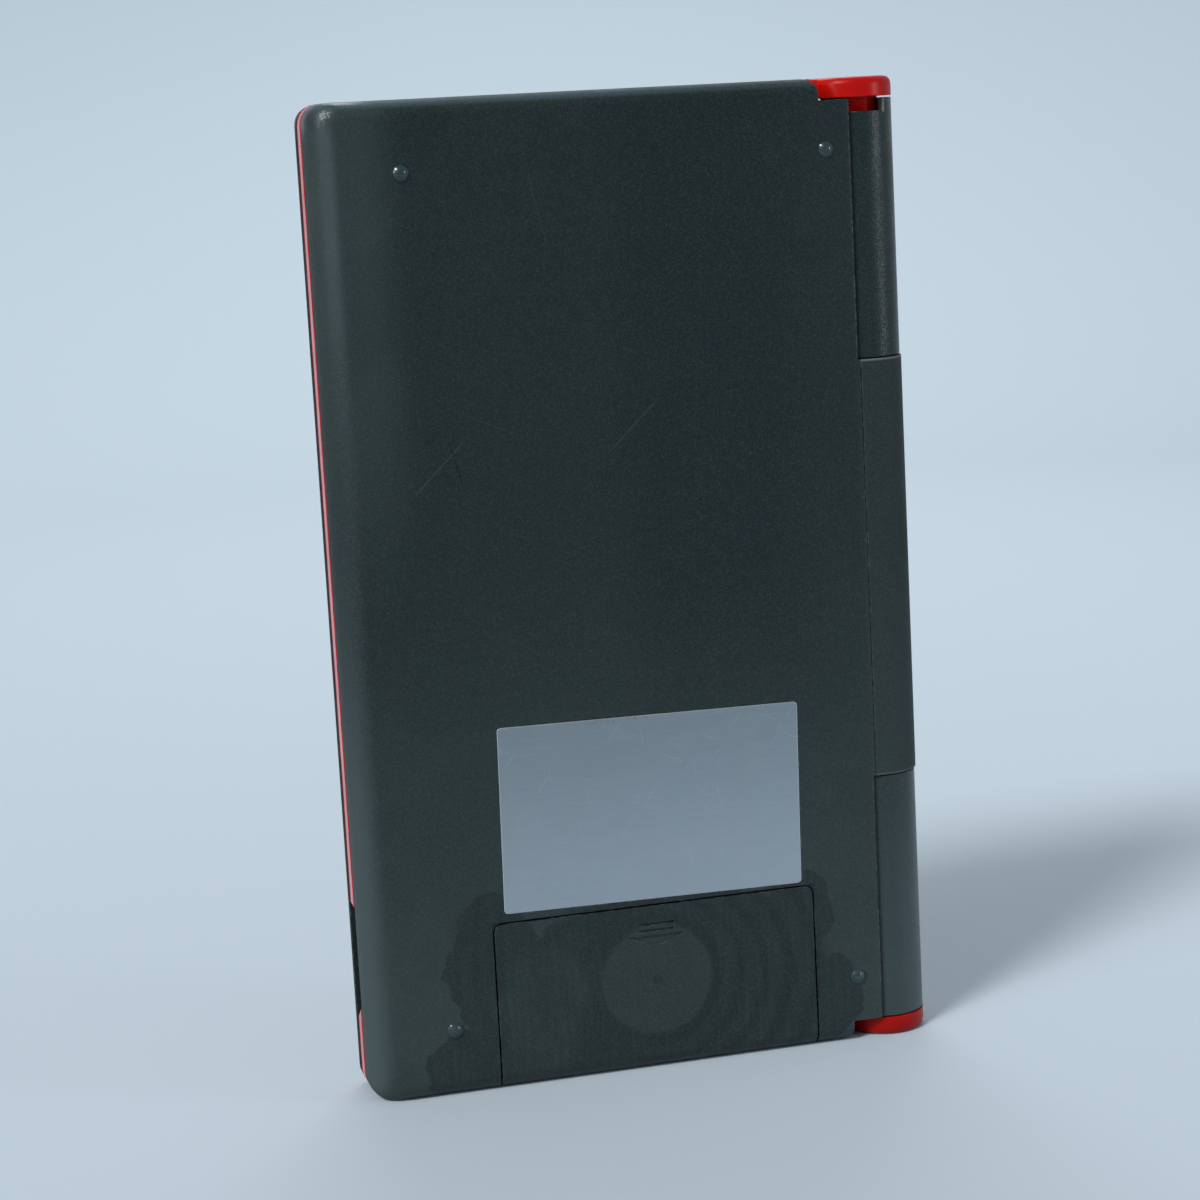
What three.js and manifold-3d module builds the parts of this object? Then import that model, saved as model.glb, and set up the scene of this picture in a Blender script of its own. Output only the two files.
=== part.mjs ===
// Book-style electronic dictionary, closed and standing on its bottom edge, in millimetres with +Z up.
// The back cover faces +Y, the lid faces -Y, and the hinge barrel runs along Z on the -X side.
// The pieces are laid out with the hinge axis in the plane y = 0, where the two halves of the housing part,
// and the group is then moved to centre the whole thickness, feet included, on the origin.

import * as THREE from 'three';
import { mergeVertices } from 'three/addons/utils/BufferGeometryUtils.js';
import Module from 'manifold-3d';

const wasm = await Module();
wasm.setup();

// Housing; its thickness follows from the stack of pieces that it holds, further down
const WIDTH = 103.1;
const HEIGHT = 170;
const LID_THICKNESS = 2.05;
const LID_STEP = 0.25;
const WALL = 1.65;
const CORNER_RADIUS = 3.5;
const INNER_CORNER_RADIUS = 1.2;
const FREE_EDGE_RADIUS = 5;
const END_EDGE_RADIUS = 3;
const LID_EDGE_RADIUS = 0.8;
const LID_END_INSET = 0.15;

// Clearances
const FIT = 0.3;
const LID_GAP = 0.3;
const CHANNEL_GAP = 0.75;
const STUB_GAP = 0.35;
const LABEL_GAP = 0.1;
const OVERRUN = 1;

// Hinge
const EAR_HEIGHT = 3.4;
const EAR_STEP = 0.05;
const EAR_SETBACK = 0.15;
const EAR_EDGE_RADIUS = 1.3;
const EAR_SHOULDER = 3;
const EAR_NOTCH_RADIUS = 2.2;
const MIDDLE_KNUCKLE_LENGTH = 73.7;
const STUB_RADIUS = 4.9;
const STUB_LENGTH = 6;
const PIN_RADIUS = 1.5;
const PIN_ENGAGEMENT = 8;
const CREASE_WIDTH = 0.3;
const CREASE_DEPTH = 0.25;
const CREASE_OFFSET = 2.3;
const CAP_NOTCH_DEPTH = 2.2;
const CAP_NOTCH_REACH = 4;

// Joint between the cover and the frame, with a shadow seam round it, and the ledge under the deck
const SEAM_WIDTH = 0.8;
const SEAM_DEPTH = 0.35;
const LIP_WIDTH = 1;
const LIP_RISE = 1.2;
const LEDGE_WIDTH = 1.2;
const LEDGE_HEIGHT = 1.1;

// Thumb scoop in the frame's free side
const SCOOP_BOTTOM = 12.25;
const SCOOP_BOTTOM_SLOPE = 3.6;
const SCOOP_TOP = 33.95;
const SCOOP_TOP_SLOPE = 0.5;
const SKIRT_THICKNESS = 0.7;
const SKIRT_MARGIN = 2;

// Feet
const FOOT_RADIUS = 1.25;
const FOOT_HEIGHT = 0.55;
const FOOT_ROOT = 0.4;
const FOOT_SHARE = 0.643;
const FOOT_FROM_END = 11.9;

// Battery compartment and door
const DOOR_SIDE_MARGIN = 5.6;
const DOOR_TOP_MARGIN = 3.8;
const DOOR_BOTTOM_INSET = 0.2;
const DOOR_THICKNESS = 1.2;
const DOOR_CORNER_RADIUS = 1.3;
const DOOR_LIP_THICKNESS = 1.5;
const DOOR_LIP_DEPTH = 3.5;
const TONGUE_THICKNESS = 0.9;
const TONGUE_REACH = 1.1;
const TONGUE_BOTTOM = 14;
const TONGUE_TOP = 24;
const TONGUE_RIB = 1;
const TONGUE_INSET = 1.7;
const DOOR_TRAVEL = 12;
const CELL_RADIUS = 10;
const CELL_HEIGHT = 3.2;
const CELL_SPACING = 3;
const CELL_CLEARANCE = 0.4;
const WELL_SILL = 3.2;
const CELL_RIM = 1.4;
const CELL_STEP = 0.35;
const CONTACT_THICKNESS = 0.3;
const CONTACT_WIDTH = 4.5;
const CONTACT_LENGTH = 15;
const CONTACT_PAD_RADIUS = 3.2;
const BRIDGE_THICKNESS = 0.5;
const WELL_FLOOR_THICKNESS = 0.7;
const BLOCK_WALL = 1.6;

// Arrow sunk in the door, pointing down, with ribs across its shaft
const ARROW_DEPTH = 0.3;
const ARROW_FROM_TOP = 3.05;
const ARROW_SHAFT_LENGTH = 2.3;
const ARROW_HEAD_LENGTH = 1.65;
const ARROW_SHAFT_WIDTH = 6.4;
const ARROW_HEAD_WIDTH = 10.2;
const ARROW_TIP_WIDTH = 2.4;
const ARROW_RIBS = 2;
const ARROW_RIB_HEIGHT = 0.75;

// Label plate
const LABEL_WIDTH = 53.9;
const LABEL_HEIGHT = 32.65;
const LABEL_THICKNESS = 0.2;
const LABEL_CORNER_RADIUS = 0.6;
const LABEL_CENTRE_X = -0.31;
const LABEL_ABOVE_DOOR = 0.975;
const LABEL_TILT_DEGREES = 0.95;

// Deck, display and keys
const DECK_RECESS = 1;
const DECK_THICKNESS = 1.5;
const DISPLAY_FROM_TOP = 27;
const WINDOW_SIDE_MARGIN = 7.15;
const WINDOW_HEIGHT = 26;
const LENS_BORDER = 3;
const LENS_THICKNESS = 0.9;
const LCD_BORDER = 3;
const LCD_THICKNESS = 1.8;
const LCD_LEDGE = 2;
const CONNECTOR_HEIGHT = 2.4;
const CONNECTOR_MARGIN = 8;
const KEY_COLUMNS = 6;
const KEY_ROWS = 6;
const KEY_COLUMN_SHARE = 0.903;
const KEY_ROW_SHARE = 0.587;
const KEY_FIELD_BOTTOM = 13.45;
const KEY_FIELD_GAP = 26.95;
const KEY_CORNER_RADIUS = 1.6;
const KEY_RECESS = 0.15;
const KEY_BEVEL = 0.45;
const KEY_FLANGE = 0.8;
const KEY_FLANGE_THICKNESS = 0.7;
const KEY_TRAVEL = 0.8;

// Board, rubber mat and what is fixed to them
const MAT_THICKNESS = 0.7;
const MAT_MARGIN = 1.4;
const DOME_HEIGHT = 0.15;
const DOME_BASE_RADIUS = 3;
const DOME_TOP_RADIUS = 2.4;
const DOME_CLEARANCE = 0.15;
const BOARD_THICKNESS = 1;
const BOARD_END_MARGIN = 4;
const BOARD_CORNER_RADIUS = 1.5;
const BOSS_RADIUS = 1.7;
const SCREW_HEAD_RADIUS = 1.9;
const SCREW_HEAD_HEIGHT = 1;
const SCREW_SHANK_RADIUS = 0.75;
const SCREW_LENGTH = 3.2;
const DRIVE_RADIUS = 0.8;
const DRIVE_DEPTH = 0.5;
const CHIP_THICKNESS = 2;
const CHIP_LEAD_THICKNESS = 0.3;
const CHIP_LEAD_WIDTH = 0.8;
const CHIP_LEAD_LENGTH = 1.2;
const MAIN_CHIP_SIDE = 15;
const MAIN_CHIP_LEADS = 8;
const MAIN_CHIP_DROP = 21.5;
const ROM_CHIP_WIDTH = 8;
const ROM_CHIP_HEIGHT = 18;
const ROM_CHIP_LEADS = 10;
const SOUND_RADIUS = 12.5;
const SOUND_THICKNESS = 0.4;
const LINER_MARGIN = 4;
const LINER_THICKNESS = 0.7;
const LINER_CORNER_RADIUS = 2;

// Facets: steps in a quarter round of an outline are twice the curve steps
const BARREL_STEPS = 56;
const COVER_STEPS = 7;
const ROUND_STEPS = 24;
const SMALL_STEPS = 12;
const CURVE_STEPS = 3;
const SMALL_CURVE_STEPS = 1;

// Thickness: from the frame's front rim to the back plane, and then with the lid; the hinge axis is halfway
const DECK_STACK = DECK_RECESS + DECK_THICKNESS;
const KEY_STACK = FIT + KEY_FLANGE_THICKNESS + KEY_TRAVEL + DOME_CLEARANCE + DOME_HEIGHT;
const BOARD_STACK = MAT_THICKNESS + BOARD_THICKNESS + FIT;
const CELL_STACK = CONTACT_THICKNESS + CELL_HEIGHT + CELL_CLEARANCE;
const BATTERY_STACK = WELL_FLOOR_THICKNESS + CELL_STACK + DOOR_THICKNESS;
const HOUSING_STACK = DECK_STACK + KEY_STACK + BOARD_STACK + BATTERY_STACK;
const THICKNESS = HOUSING_STACK + LID_GAP + LID_THICKNESS + LID_STEP;
const COVER_DEPTH = THICKNESS / 2;
const FRAME_DEPTH = HOUSING_STACK - COVER_DEPTH;

// Places across the thickness
const CAVITY_BACK = COVER_DEPTH - WALL;
const LID_INNER_Y = -FRAME_DEPTH - LID_GAP;
const LID_OUTER_Y = LID_INNER_Y - LID_THICKNESS;
const DECK_FRONT = DECK_RECESS - FRAME_DEPTH;
const DECK_BACK = DECK_FRONT + DECK_THICKNESS;
const LIP_FRONT = DECK_BACK + LEDGE_HEIGHT + FIT;
const KEY_FRONT = KEY_RECESS - FRAME_DEPTH;
const KEY_FLANGE_FRONT = DECK_BACK + FIT;
const KEY_BACK = KEY_FLANGE_FRONT + KEY_FLANGE_THICKNESS;
const DOME_FRONT = KEY_BACK + KEY_TRAVEL + DOME_CLEARANCE;
const MAT_FRONT = DOME_FRONT + DOME_HEIGHT;
const BOARD_FRONT = MAT_FRONT + MAT_THICKNESS;
const BOARD_BACK = BOARD_FRONT + BOARD_THICKNESS;
const WELL_FLOOR = BOARD_BACK + FIT + WELL_FLOOR_THICKNESS;
const DOOR_INNER = COVER_DEPTH - DOOR_THICKNESS;

// Hinge and housing places
const SIDE_X = WIDTH / 2;
const BARREL_RADIUS = COVER_DEPTH;
const AXIS_X = BARREL_RADIUS - SIDE_X;
const LID_KNUCKLE_RADIUS = -LID_OUTER_Y;
const CHANNEL_RADIUS = LID_KNUCKLE_RADIUS + CHANNEL_GAP;
const EAR_RADIUS = LID_KNUCKLE_RADIUS + EAR_STEP;
const EAR_BLOCK_X = AXIS_X + CHANNEL_RADIUS - EAR_SETBACK;
const KNUCKLE_START = EAR_HEIGHT + FIT;
const MIDDLE_KNUCKLE_START = (HEIGHT - MIDDLE_KNUCKLE_LENGTH) / 2;
const KNUCKLE_END = MIDDLE_KNUCKLE_START - FIT;
const INSIDE_X = AXIS_X + CHANNEL_RADIUS + WALL;
const INSIDE_WIDTH = SIDE_X - WALL - INSIDE_X;
const COVER_EDGE_X = AXIS_X + Math.sqrt(CHANNEL_RADIUS ** 2 - COVER_DEPTH ** 2);

// Battery compartment, door and label places
const WELL_RADIUS = CELL_RADIUS + FIT;
const CELL_OFFSET = CELL_RADIUS + CELL_SPACING;
const CELL_CENTRE_Z = DOOR_BOTTOM_INSET + DOOR_LIP_THICKNESS + FIT + WELL_SILL + WELL_RADIUS;
const DOOR_HALF_WIDTH = CELL_OFFSET + WELL_RADIUS + DOOR_SIDE_MARGIN;
const DOOR_TOP = CELL_CENTRE_Z + WELL_RADIUS + DOOR_TOP_MARGIN;
const FOOT_X = DOOR_HALF_WIDTH + FOOT_SHARE * (-COVER_EDGE_X - DOOR_HALF_WIDTH);
const LABEL_CENTRE_Z = DOOR_TOP + FIT + LABEL_ABOVE_DOOR + LABEL_HEIGHT / 2;
const LABEL_TILT = THREE.MathUtils.degToRad(LABEL_TILT_DEGREES);

// Deck, display and key places; a key's flange ends one fit short of the skirt behind the thumb scoop
const DECK_CENTRE_X = INSIDE_X + INSIDE_WIDTH / 2;
const DISPLAY_CENTRE_Z = HEIGHT - DISPLAY_FROM_TOP;
const WINDOW_WIDTH = INSIDE_WIDTH - WINDOW_SIDE_MARGIN * 2;
const LENS_BOTTOM = DISPLAY_CENTRE_Z - WINDOW_HEIGHT / 2 - LENS_BORDER;
const BOARD_MARGIN = FIT * 2 + LIP_WIDTH;
const KEY_FIELD_WIDTH = INSIDE_WIDTH - (BOARD_MARGIN + SKIRT_THICKNESS + FIT) * 2;
const KEY_FIELD_TOP = LENS_BOTTOM - KEY_FIELD_GAP;
const KEY_PITCH_X = KEY_FIELD_WIDTH / (KEY_COLUMNS - 1 + KEY_COLUMN_SHARE);
const KEY_PITCH_Z = (KEY_FIELD_TOP - KEY_FIELD_BOTTOM) / (KEY_ROWS - 1 + KEY_ROW_SHARE);
const KEY_WIDTH = KEY_PITCH_X * KEY_COLUMN_SHARE - KEY_FLANGE * 2;
const KEY_HEIGHT = KEY_PITCH_Z * KEY_ROW_SHARE - KEY_FLANGE * 2;
const BOTTOM_ROW_Z = KEY_FIELD_BOTTOM + KEY_HEIGHT / 2 + KEY_FLANGE;
const LOWER_BOSS_Z = BOTTOM_ROW_Z + KEY_PITCH_Z * 1.5;
const UPPER_BOSS_Z = (KEY_FIELD_TOP + LENS_BOTTOM) / 2;
const BOSS_OFFSET = KEY_PITCH_X * 2;

// Turns an extrusion made along local Z so that it runs along the named axis, over a unit depth
const DIRECTIONS = {
  x: (from, to) => [0, 0, to - from, from, 1, 0, 0, 0, 0, 1, 0, 0],
  y: (from, to) => [1, 0, 0, 0, 0, 0, from - to, to, 0, 1, 0, 0],
  z: (from, to) => [1, 0, 0, 0, 0, 1, 0, 0, 0, 0, to - from, from],
};

function solidOf(geometry) {
  geometry.deleteAttribute('normal');
  geometry.deleteAttribute('uv');
  const merged = mergeVertices(geometry);
  return new wasm.Manifold(new wasm.Mesh({
    numProp: 3,
    vertProperties: new Float32Array(merged.attributes.position.array),
    triVerts: new Uint32Array(merged.index.array),
  }));
}

function prism(shape, axis, from, to, curveSegments = CURVE_STEPS) {
  const geometry = new THREE.ExtrudeGeometry(shape, { depth: 1, bevelEnabled: false, curveSegments });
  geometry.applyMatrix4(new THREE.Matrix4().set(...DIRECTIONS[axis](from, to), 0, 0, 0, 1));
  return solidOf(geometry);
}

function disc(x, y, radius, steps) {
  const points = [];
  for (let step = 0; step < steps; step += 1) {
    const angle = (step / steps) * Math.PI * 2;
    points.push(new THREE.Vector2(x + radius * Math.cos(angle), y + radius * Math.sin(angle)));
  }
  return new THREE.Shape(points);
}

function polygon(points) {
  return new THREE.Shape(points.map(([x, y]) => new THREE.Vector2(x, y)));
}

// A rectangle with its own radius at each corner, from the lower left round to the upper left
function plate(left, bottom, right, top, radii) {
  const corners = [
    [left, bottom, 1, 1, Math.PI],
    [right, bottom, -1, 1, Math.PI * 1.5],
    [right, top, -1, -1, 0],
    [left, top, 1, -1, Math.PI / 2],
  ];
  const shape = new THREE.Shape();
  corners.forEach(([x, y, inX, inY, start], index) => {
    const radius = radii[index];
    const [centreX, centreY] = [x + inX * radius, y + inY * radius];
    const first = [centreX + radius * Math.cos(start), centreY + radius * Math.sin(start)];
    if (index === 0) {
      shape.moveTo(...first);
    } else {
      shape.lineTo(...first);
    }
    if (radius > 0) {
      shape.absarc(centreX, centreY, radius, start, start + Math.PI / 2);
    }
  });
  shape.closePath();
  return shape;
}

function centredPlate(x, y, width, height, radius) {
  return plate(x - width / 2, y - height / 2, x + width / 2, y + height / 2, Array(4).fill(radius));
}

function block(left, right, front, back, bottom, top) {
  return prism(plate(left, bottom, right, top, Array(4).fill(0)), 'y', front, back);
}

function rod(x, y, radius, from, to, steps = BARREL_STEPS) {
  return prism(disc(x, y, radius, steps), 'z', from, to);
}

// A turned piece whose axis points along +Y; the profile holds [radius, height] pairs from the bottom up
function turned(profile, x, y, z, steps) {
  const geometry = new THREE.LatheGeometry(profile.map(([r, h]) => new THREE.Vector2(r, h)), steps);
  geometry.translate(x, y, z);
  return solidOf(geometry);
}

// Both ends of the device are alike: a span measured from the bottom end, or the same from the top end
function fromEnd(atTop, near, far) {
  return atTop ? [HEIGHT - far, HEIGHT - near] : [near, far];
}

function joined(pieces) {
  return pieces.reduce((whole, piece) => whole.add(piece));
}

function without(whole, cuts) {
  return cuts.reduce((rest, cut) => rest.subtract(cut), whole);
}

// The inside of the housing seen from the back, drawn in by the inset
function insidePlan(inset) {
  const edge = WALL + inset;
  const radius = Math.max(INNER_CORNER_RADIUS - inset, 0);
  return plate(INSIDE_X + inset, edge, SIDE_X - edge, HEIGHT - edge, Array(4).fill(radius));
}

// A solid through outlines that lie one behind the other towards +Y, with as many points in each
function loft(outlines) {
  const count = outlines[0].length;
  const last = (outlines.length - 1) * count;
  const faces = [];
  for (let start = 0; start < last; start += count) {
    for (let index = 0; index < count; index += 1) {
      const here = start + index;
      const next = start + (index + 1) % count;
      faces.push(here, next + count, next, here, here + count, next + count);
    }
  }
  for (let index = 2; index < count; index += 1) {
    faces.push(0, index - 1, index, last, last + index, last + index - 1);
  }
  const geometry = new THREE.BufferGeometry();
  geometry.setAttribute('position', new THREE.Float32BufferAttribute(outlines.flat(2), 3));
  geometry.setIndex(faces);
  return solidOf(geometry);
}

// How far a quarter round has drawn a face in, at a depth below the plane that the round ends in
function drawnIn(radius, depth) {
  const rest = Math.max(radius - depth, 0);
  return radius - Math.sqrt(radius ** 2 - rest ** 2);
}

// The cover's outer form, or its hollow: its outline shrinks towards the back and keeps its corner radius
function coverForm(startX, frontY, inset) {
  const [corner, side, end] = [CORNER_RADIUS, FREE_EDGE_RADIUS, END_EDGE_RADIUS]
    .map((radius) => radius - inset);
  const backY = COVER_DEPTH - inset;
  const depths = [backY - frontY];
  for (let step = COVER_STEPS; step >= 0; step -= 1) {
    depths.push(side * (1 - Math.cos((step / COVER_STEPS) * (Math.PI / 2))));
  }
  return loft(depths.map((depth) => {
    const sideX = SIDE_X - inset - drawnIn(side, depth);
    const bottom = inset + drawnIn(end, depth);
    const outline = plate(startX, bottom, sideX, HEIGHT - bottom, [0, corner, corner, 0]);
    return outline.getPoints(CURVE_STEPS).slice(0, -1).map((point) => [point.x, backY - depth, point.y]);
  }));
}

function ring(outerInset, innerInset, front, back) {
  const outer = prism(insidePlan(outerInset), 'y', front, back, SMALL_CURVE_STEPS);
  const inner = prism(insidePlan(innerInset), 'y', front - OVERRUN, back + OVERRUN, SMALL_CURVE_STEPS);
  return outer.subtract(inner);
}

// Dome foot standing on the cover near each corner
function foot(x, z) {
  const sphere = (FOOT_RADIUS ** 2 + FOOT_HEIGHT ** 2) / (2 * FOOT_HEIGHT);
  const profile = [[0, -FOOT_ROOT], [FOOT_RADIUS, -FOOT_ROOT]];
  const steps = 4;
  for (let step = 0; step < steps; step += 1) {
    const radius = FOOT_RADIUS * (1 - step / steps);
    profile.push([radius, FOOT_HEIGHT - sphere + Math.sqrt(sphere ** 2 - radius ** 2)]);
  }
  profile.push([0, FOOT_HEIGHT]);
  return turned(profile, x, COVER_DEPTH, z, SMALL_STEPS);
}

function labelForm(gap, front, back) {
  const centre = new THREE.Vector2(LABEL_CENTRE_X, LABEL_CENTRE_Z);
  const [width, height] = [LABEL_WIDTH + gap * 2, LABEL_HEIGHT + gap * 2];
  const outline = centredPlate(centre.x, centre.y, width, height, LABEL_CORNER_RADIUS);
  const points = outline.getPoints(SMALL_CURVE_STEPS).map((point) => point.rotateAround(centre, LABEL_TILT));
  return prism(new THREE.Shape(points), 'y', front, back);
}

// Slot beside the door that its tongue runs in: under the cover's wall, and open to the door's seat
function tongueSlot(side) {
  const inner = DOOR_HALF_WIDTH - TONGUE_INSET - FIT;
  const outer = DOOR_HALF_WIDTH + TONGUE_REACH + FIT;
  const [left, right] = side > 0 ? [inner, outer] : [-outer, -inner];
  const front = DOOR_INNER - FIT - TONGUE_THICKNESS - FIT * 2;
  return block(left, right, front, DOOR_INNER - FIT, TONGUE_BOTTOM - DOOR_TRAVEL - FIT, TONGUE_TOP + FIT);
}

function batteryBlock() {
  const half = DOOR_HALF_WIDTH + TONGUE_REACH + FIT + BLOCK_WALL;
  const top = DOOR_TOP + FIT + BLOCK_WALL;
  return block(-half, half, BOARD_BACK + FIT, COVER_DEPTH, 0, top)
    .intersect(coverForm(AXIS_X, 0, 0));
}

function batteryCuts() {
  const seatHalf = DOOR_HALF_WIDTH + FIT;
  const radius = DOOR_CORNER_RADIUS + FIT;
  const seat = plate(-seatHalf, -OVERRUN, seatHalf, DOOR_TOP + FIT, [0, 0, radius, radius]);
  const lipTop = DOOR_BOTTOM_INSET + DOOR_LIP_THICKNESS + FIT;
  const cuts = [
    prism(seat, 'y', DOOR_INNER - FIT, COVER_DEPTH + OVERRUN, SMALL_CURVE_STEPS),
    block(-seatHalf, seatHalf, COVER_DEPTH - DOOR_LIP_DEPTH - FIT, COVER_DEPTH, -OVERRUN, lipTop),
    block(-CELL_OFFSET, CELL_OFFSET, WELL_FLOOR, COVER_DEPTH, CELL_CENTRE_Z - BRIDGE_THICKNESS / 2 - FIT,
      CELL_CENTRE_Z + BRIDGE_THICKNESS / 2 + FIT),
  ];
  for (const side of [-1, 1]) {
    const well = disc(side * CELL_OFFSET, CELL_CENTRE_Z, WELL_RADIUS, ROUND_STEPS);
    cuts.push(prism(well, 'y', WELL_FLOOR, COVER_DEPTH), tongueSlot(side));
  }
  return cuts;
}

// Notch in the cover for the block of an ear; the cover's corner beside it is rounded
function earNotch(atTop) {
  const side = EAR_BLOCK_X + FIT;
  const points = [[AXIS_X - OVERRUN, -OVERRUN], [side + EAR_NOTCH_RADIUS, -OVERRUN]];
  const steps = 4;
  for (let step = 0; step <= steps; step += 1) {
    const angle = (step / steps) * (Math.PI / 2);
    points.push([side + EAR_NOTCH_RADIUS * (1 - Math.sin(angle)), EAR_NOTCH_RADIUS * (1 - Math.cos(angle))]);
  }
  points.push([side, KNUCKLE_START], [AXIS_X - OVERRUN, KNUCKLE_START]);
  const placed = points.map(([x, z]) => [x, atTop ? HEIGHT - z : z]);
  return prism(polygon(placed), 'y', -OVERRUN, COVER_DEPTH + OVERRUN);
}

function rearCover() {
  const knuckleEnd = HEIGHT - MIDDLE_KNUCKLE_START;
  const creaseX = AXIS_X + CREASE_OFFSET;
  const crease = polygon([
    [creaseX - CREASE_WIDTH / 2, COVER_DEPTH],
    [creaseX, COVER_DEPTH - CREASE_DEPTH],
    [creaseX + CREASE_WIDTH / 2, COVER_DEPTH],
    [creaseX, COVER_DEPTH + OVERRUN],
  ]);
  const shell = joined([
    coverForm(AXIS_X, 0, 0).subtract(coverForm(INSIDE_X, -OVERRUN, WALL)),
    ring(FIT, FIT + LIP_WIDTH, LIP_FRONT, LIP_RISE),
    ring(-WALL / 2, FIT + LIP_WIDTH, 0, LIP_RISE),
    batteryBlock(),
  ]);
  const cuts = batteryCuts();
  for (const atTop of [false, true]) {
    cuts.push(rod(AXIS_X, 0, CHANNEL_RADIUS, ...fromEnd(atTop, -OVERRUN, MIDDLE_KNUCKLE_START)));
    cuts.push(earNotch(atTop));
  }
  const feet = [];
  for (const x of [-FOOT_X, FOOT_X]) {
    for (const z of [FOOT_FROM_END, HEIGHT - FOOT_FROM_END]) {
      feet.push(foot(x, z));
    }
  }
  const barrel = rod(AXIS_X, 0, BARREL_RADIUS, MIDDLE_KNUCKLE_START, knuckleEnd);
  return without(joined([without(shell, cuts), barrel, ...feet]), [
    prism(crease, 'z', MIDDLE_KNUCKLE_START - OVERRUN, knuckleEnd + OVERRUN),
    rod(AXIS_X, 0, PIN_RADIUS + FIT, MIDDLE_KNUCKLE_START - OVERRUN, knuckleEnd + OVERRUN, ROUND_STEPS),
    labelForm(LABEL_GAP, COVER_DEPTH - LABEL_THICKNESS, COVER_DEPTH + OVERRUN),
  ]);
}

// Red end of the hinge: a rounded disc about the hinge axis, a lower block that runs into the frame, and a
// stub for the lid
function ear(atTop) {
  const profile = [[0, 0]];
  const steps = 3;
  for (let step = 0; step <= steps; step += 1) {
    const angle = (step / steps) * (Math.PI / 2);
    profile.push([
      EAR_RADIUS - EAR_EDGE_RADIUS * (1 - Math.sin(angle)),
      EAR_EDGE_RADIUS * (1 - Math.cos(angle)),
    ]);
  }
  profile.push([EAR_RADIUS, EAR_HEIGHT], [0, EAR_HEIGHT]);
  const placed = profile.map(([radius, z]) => new THREE.Vector2(radius, atTop ? HEIGHT - z : z));
  if (atTop) {
    placed.reverse();
  }
  const round = new THREE.LatheGeometry(placed, BARREL_STEPS).rotateX(Math.PI / 2).translate(AXIS_X, 0, 0);
  const radii = atTop ? [0, 0, EAR_EDGE_RADIUS, 0] : [0, EAR_EDGE_RADIUS, 0, 0];
  const [bottom, top] = fromEnd(atTop, 0, EAR_HEIGHT);
  const side = plate(-FRAME_DEPTH, bottom, EAR_SHOULDER, top, radii);
  const stubSpan = fromEnd(atTop, EAR_HEIGHT / 2, EAR_HEIGHT + STUB_LENGTH);
  const stub = rod(AXIS_X, 0, STUB_RADIUS, ...stubSpan, ROUND_STEPS);
  return joined([solidOf(round), prism(side, 'x', AXIS_X, EAR_BLOCK_X, 2), stub]);
}

function midFrame() {
  const plan = plate(AXIS_X, 0, SIDE_X, HEIGHT, [0, CORNER_RADIUS, CORNER_RADIUS, 0]);
  const seamRadius = CORNER_RADIUS - SEAM_DEPTH;
  const seamSide = SIDE_X - SEAM_DEPTH;
  const seamPlan = plate(AXIS_X, SEAM_DEPTH, seamSide, HEIGHT - SEAM_DEPTH, [0, seamRadius, seamRadius, 0]);
  const wall = prism(plan, 'y', -FRAME_DEPTH, -SEAM_WIDTH)
    .add(prism(seamPlan, 'y', -FRAME_DEPTH, 0))
    .subtract(prism(insidePlan(0), 'y', -FRAME_DEPTH - OVERRUN, OVERRUN, SMALL_CURVE_STEPS));
  const scoop = polygon([
    [-FRAME_DEPTH - OVERRUN, SCOOP_BOTTOM],
    [-FRAME_DEPTH, SCOOP_BOTTOM],
    [0, SCOOP_BOTTOM + SCOOP_BOTTOM_SLOPE],
    [OVERRUN, SCOOP_BOTTOM + SCOOP_BOTTOM_SLOPE],
    [OVERRUN, SCOOP_TOP - SCOOP_TOP_SLOPE],
    [0, SCOOP_TOP - SCOOP_TOP_SLOPE],
    [-FRAME_DEPTH, SCOOP_TOP],
    [-FRAME_DEPTH - OVERRUN, SCOOP_TOP],
  ]);
  const band = joined([wall, ring(-WALL / 2, LEDGE_WIDTH, DECK_BACK, DECK_BACK + LEDGE_HEIGHT)]);
  const open = without(band, [
    rod(AXIS_X, 0, CHANNEL_RADIUS, -OVERRUN, HEIGHT + OVERRUN),
    prism(scoop, 'x', SIDE_X - WALL - LEDGE_WIDTH - FIT, SIDE_X + OVERRUN),
  ]);
  return joined([open, ear(false), ear(true)]);
}

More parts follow.
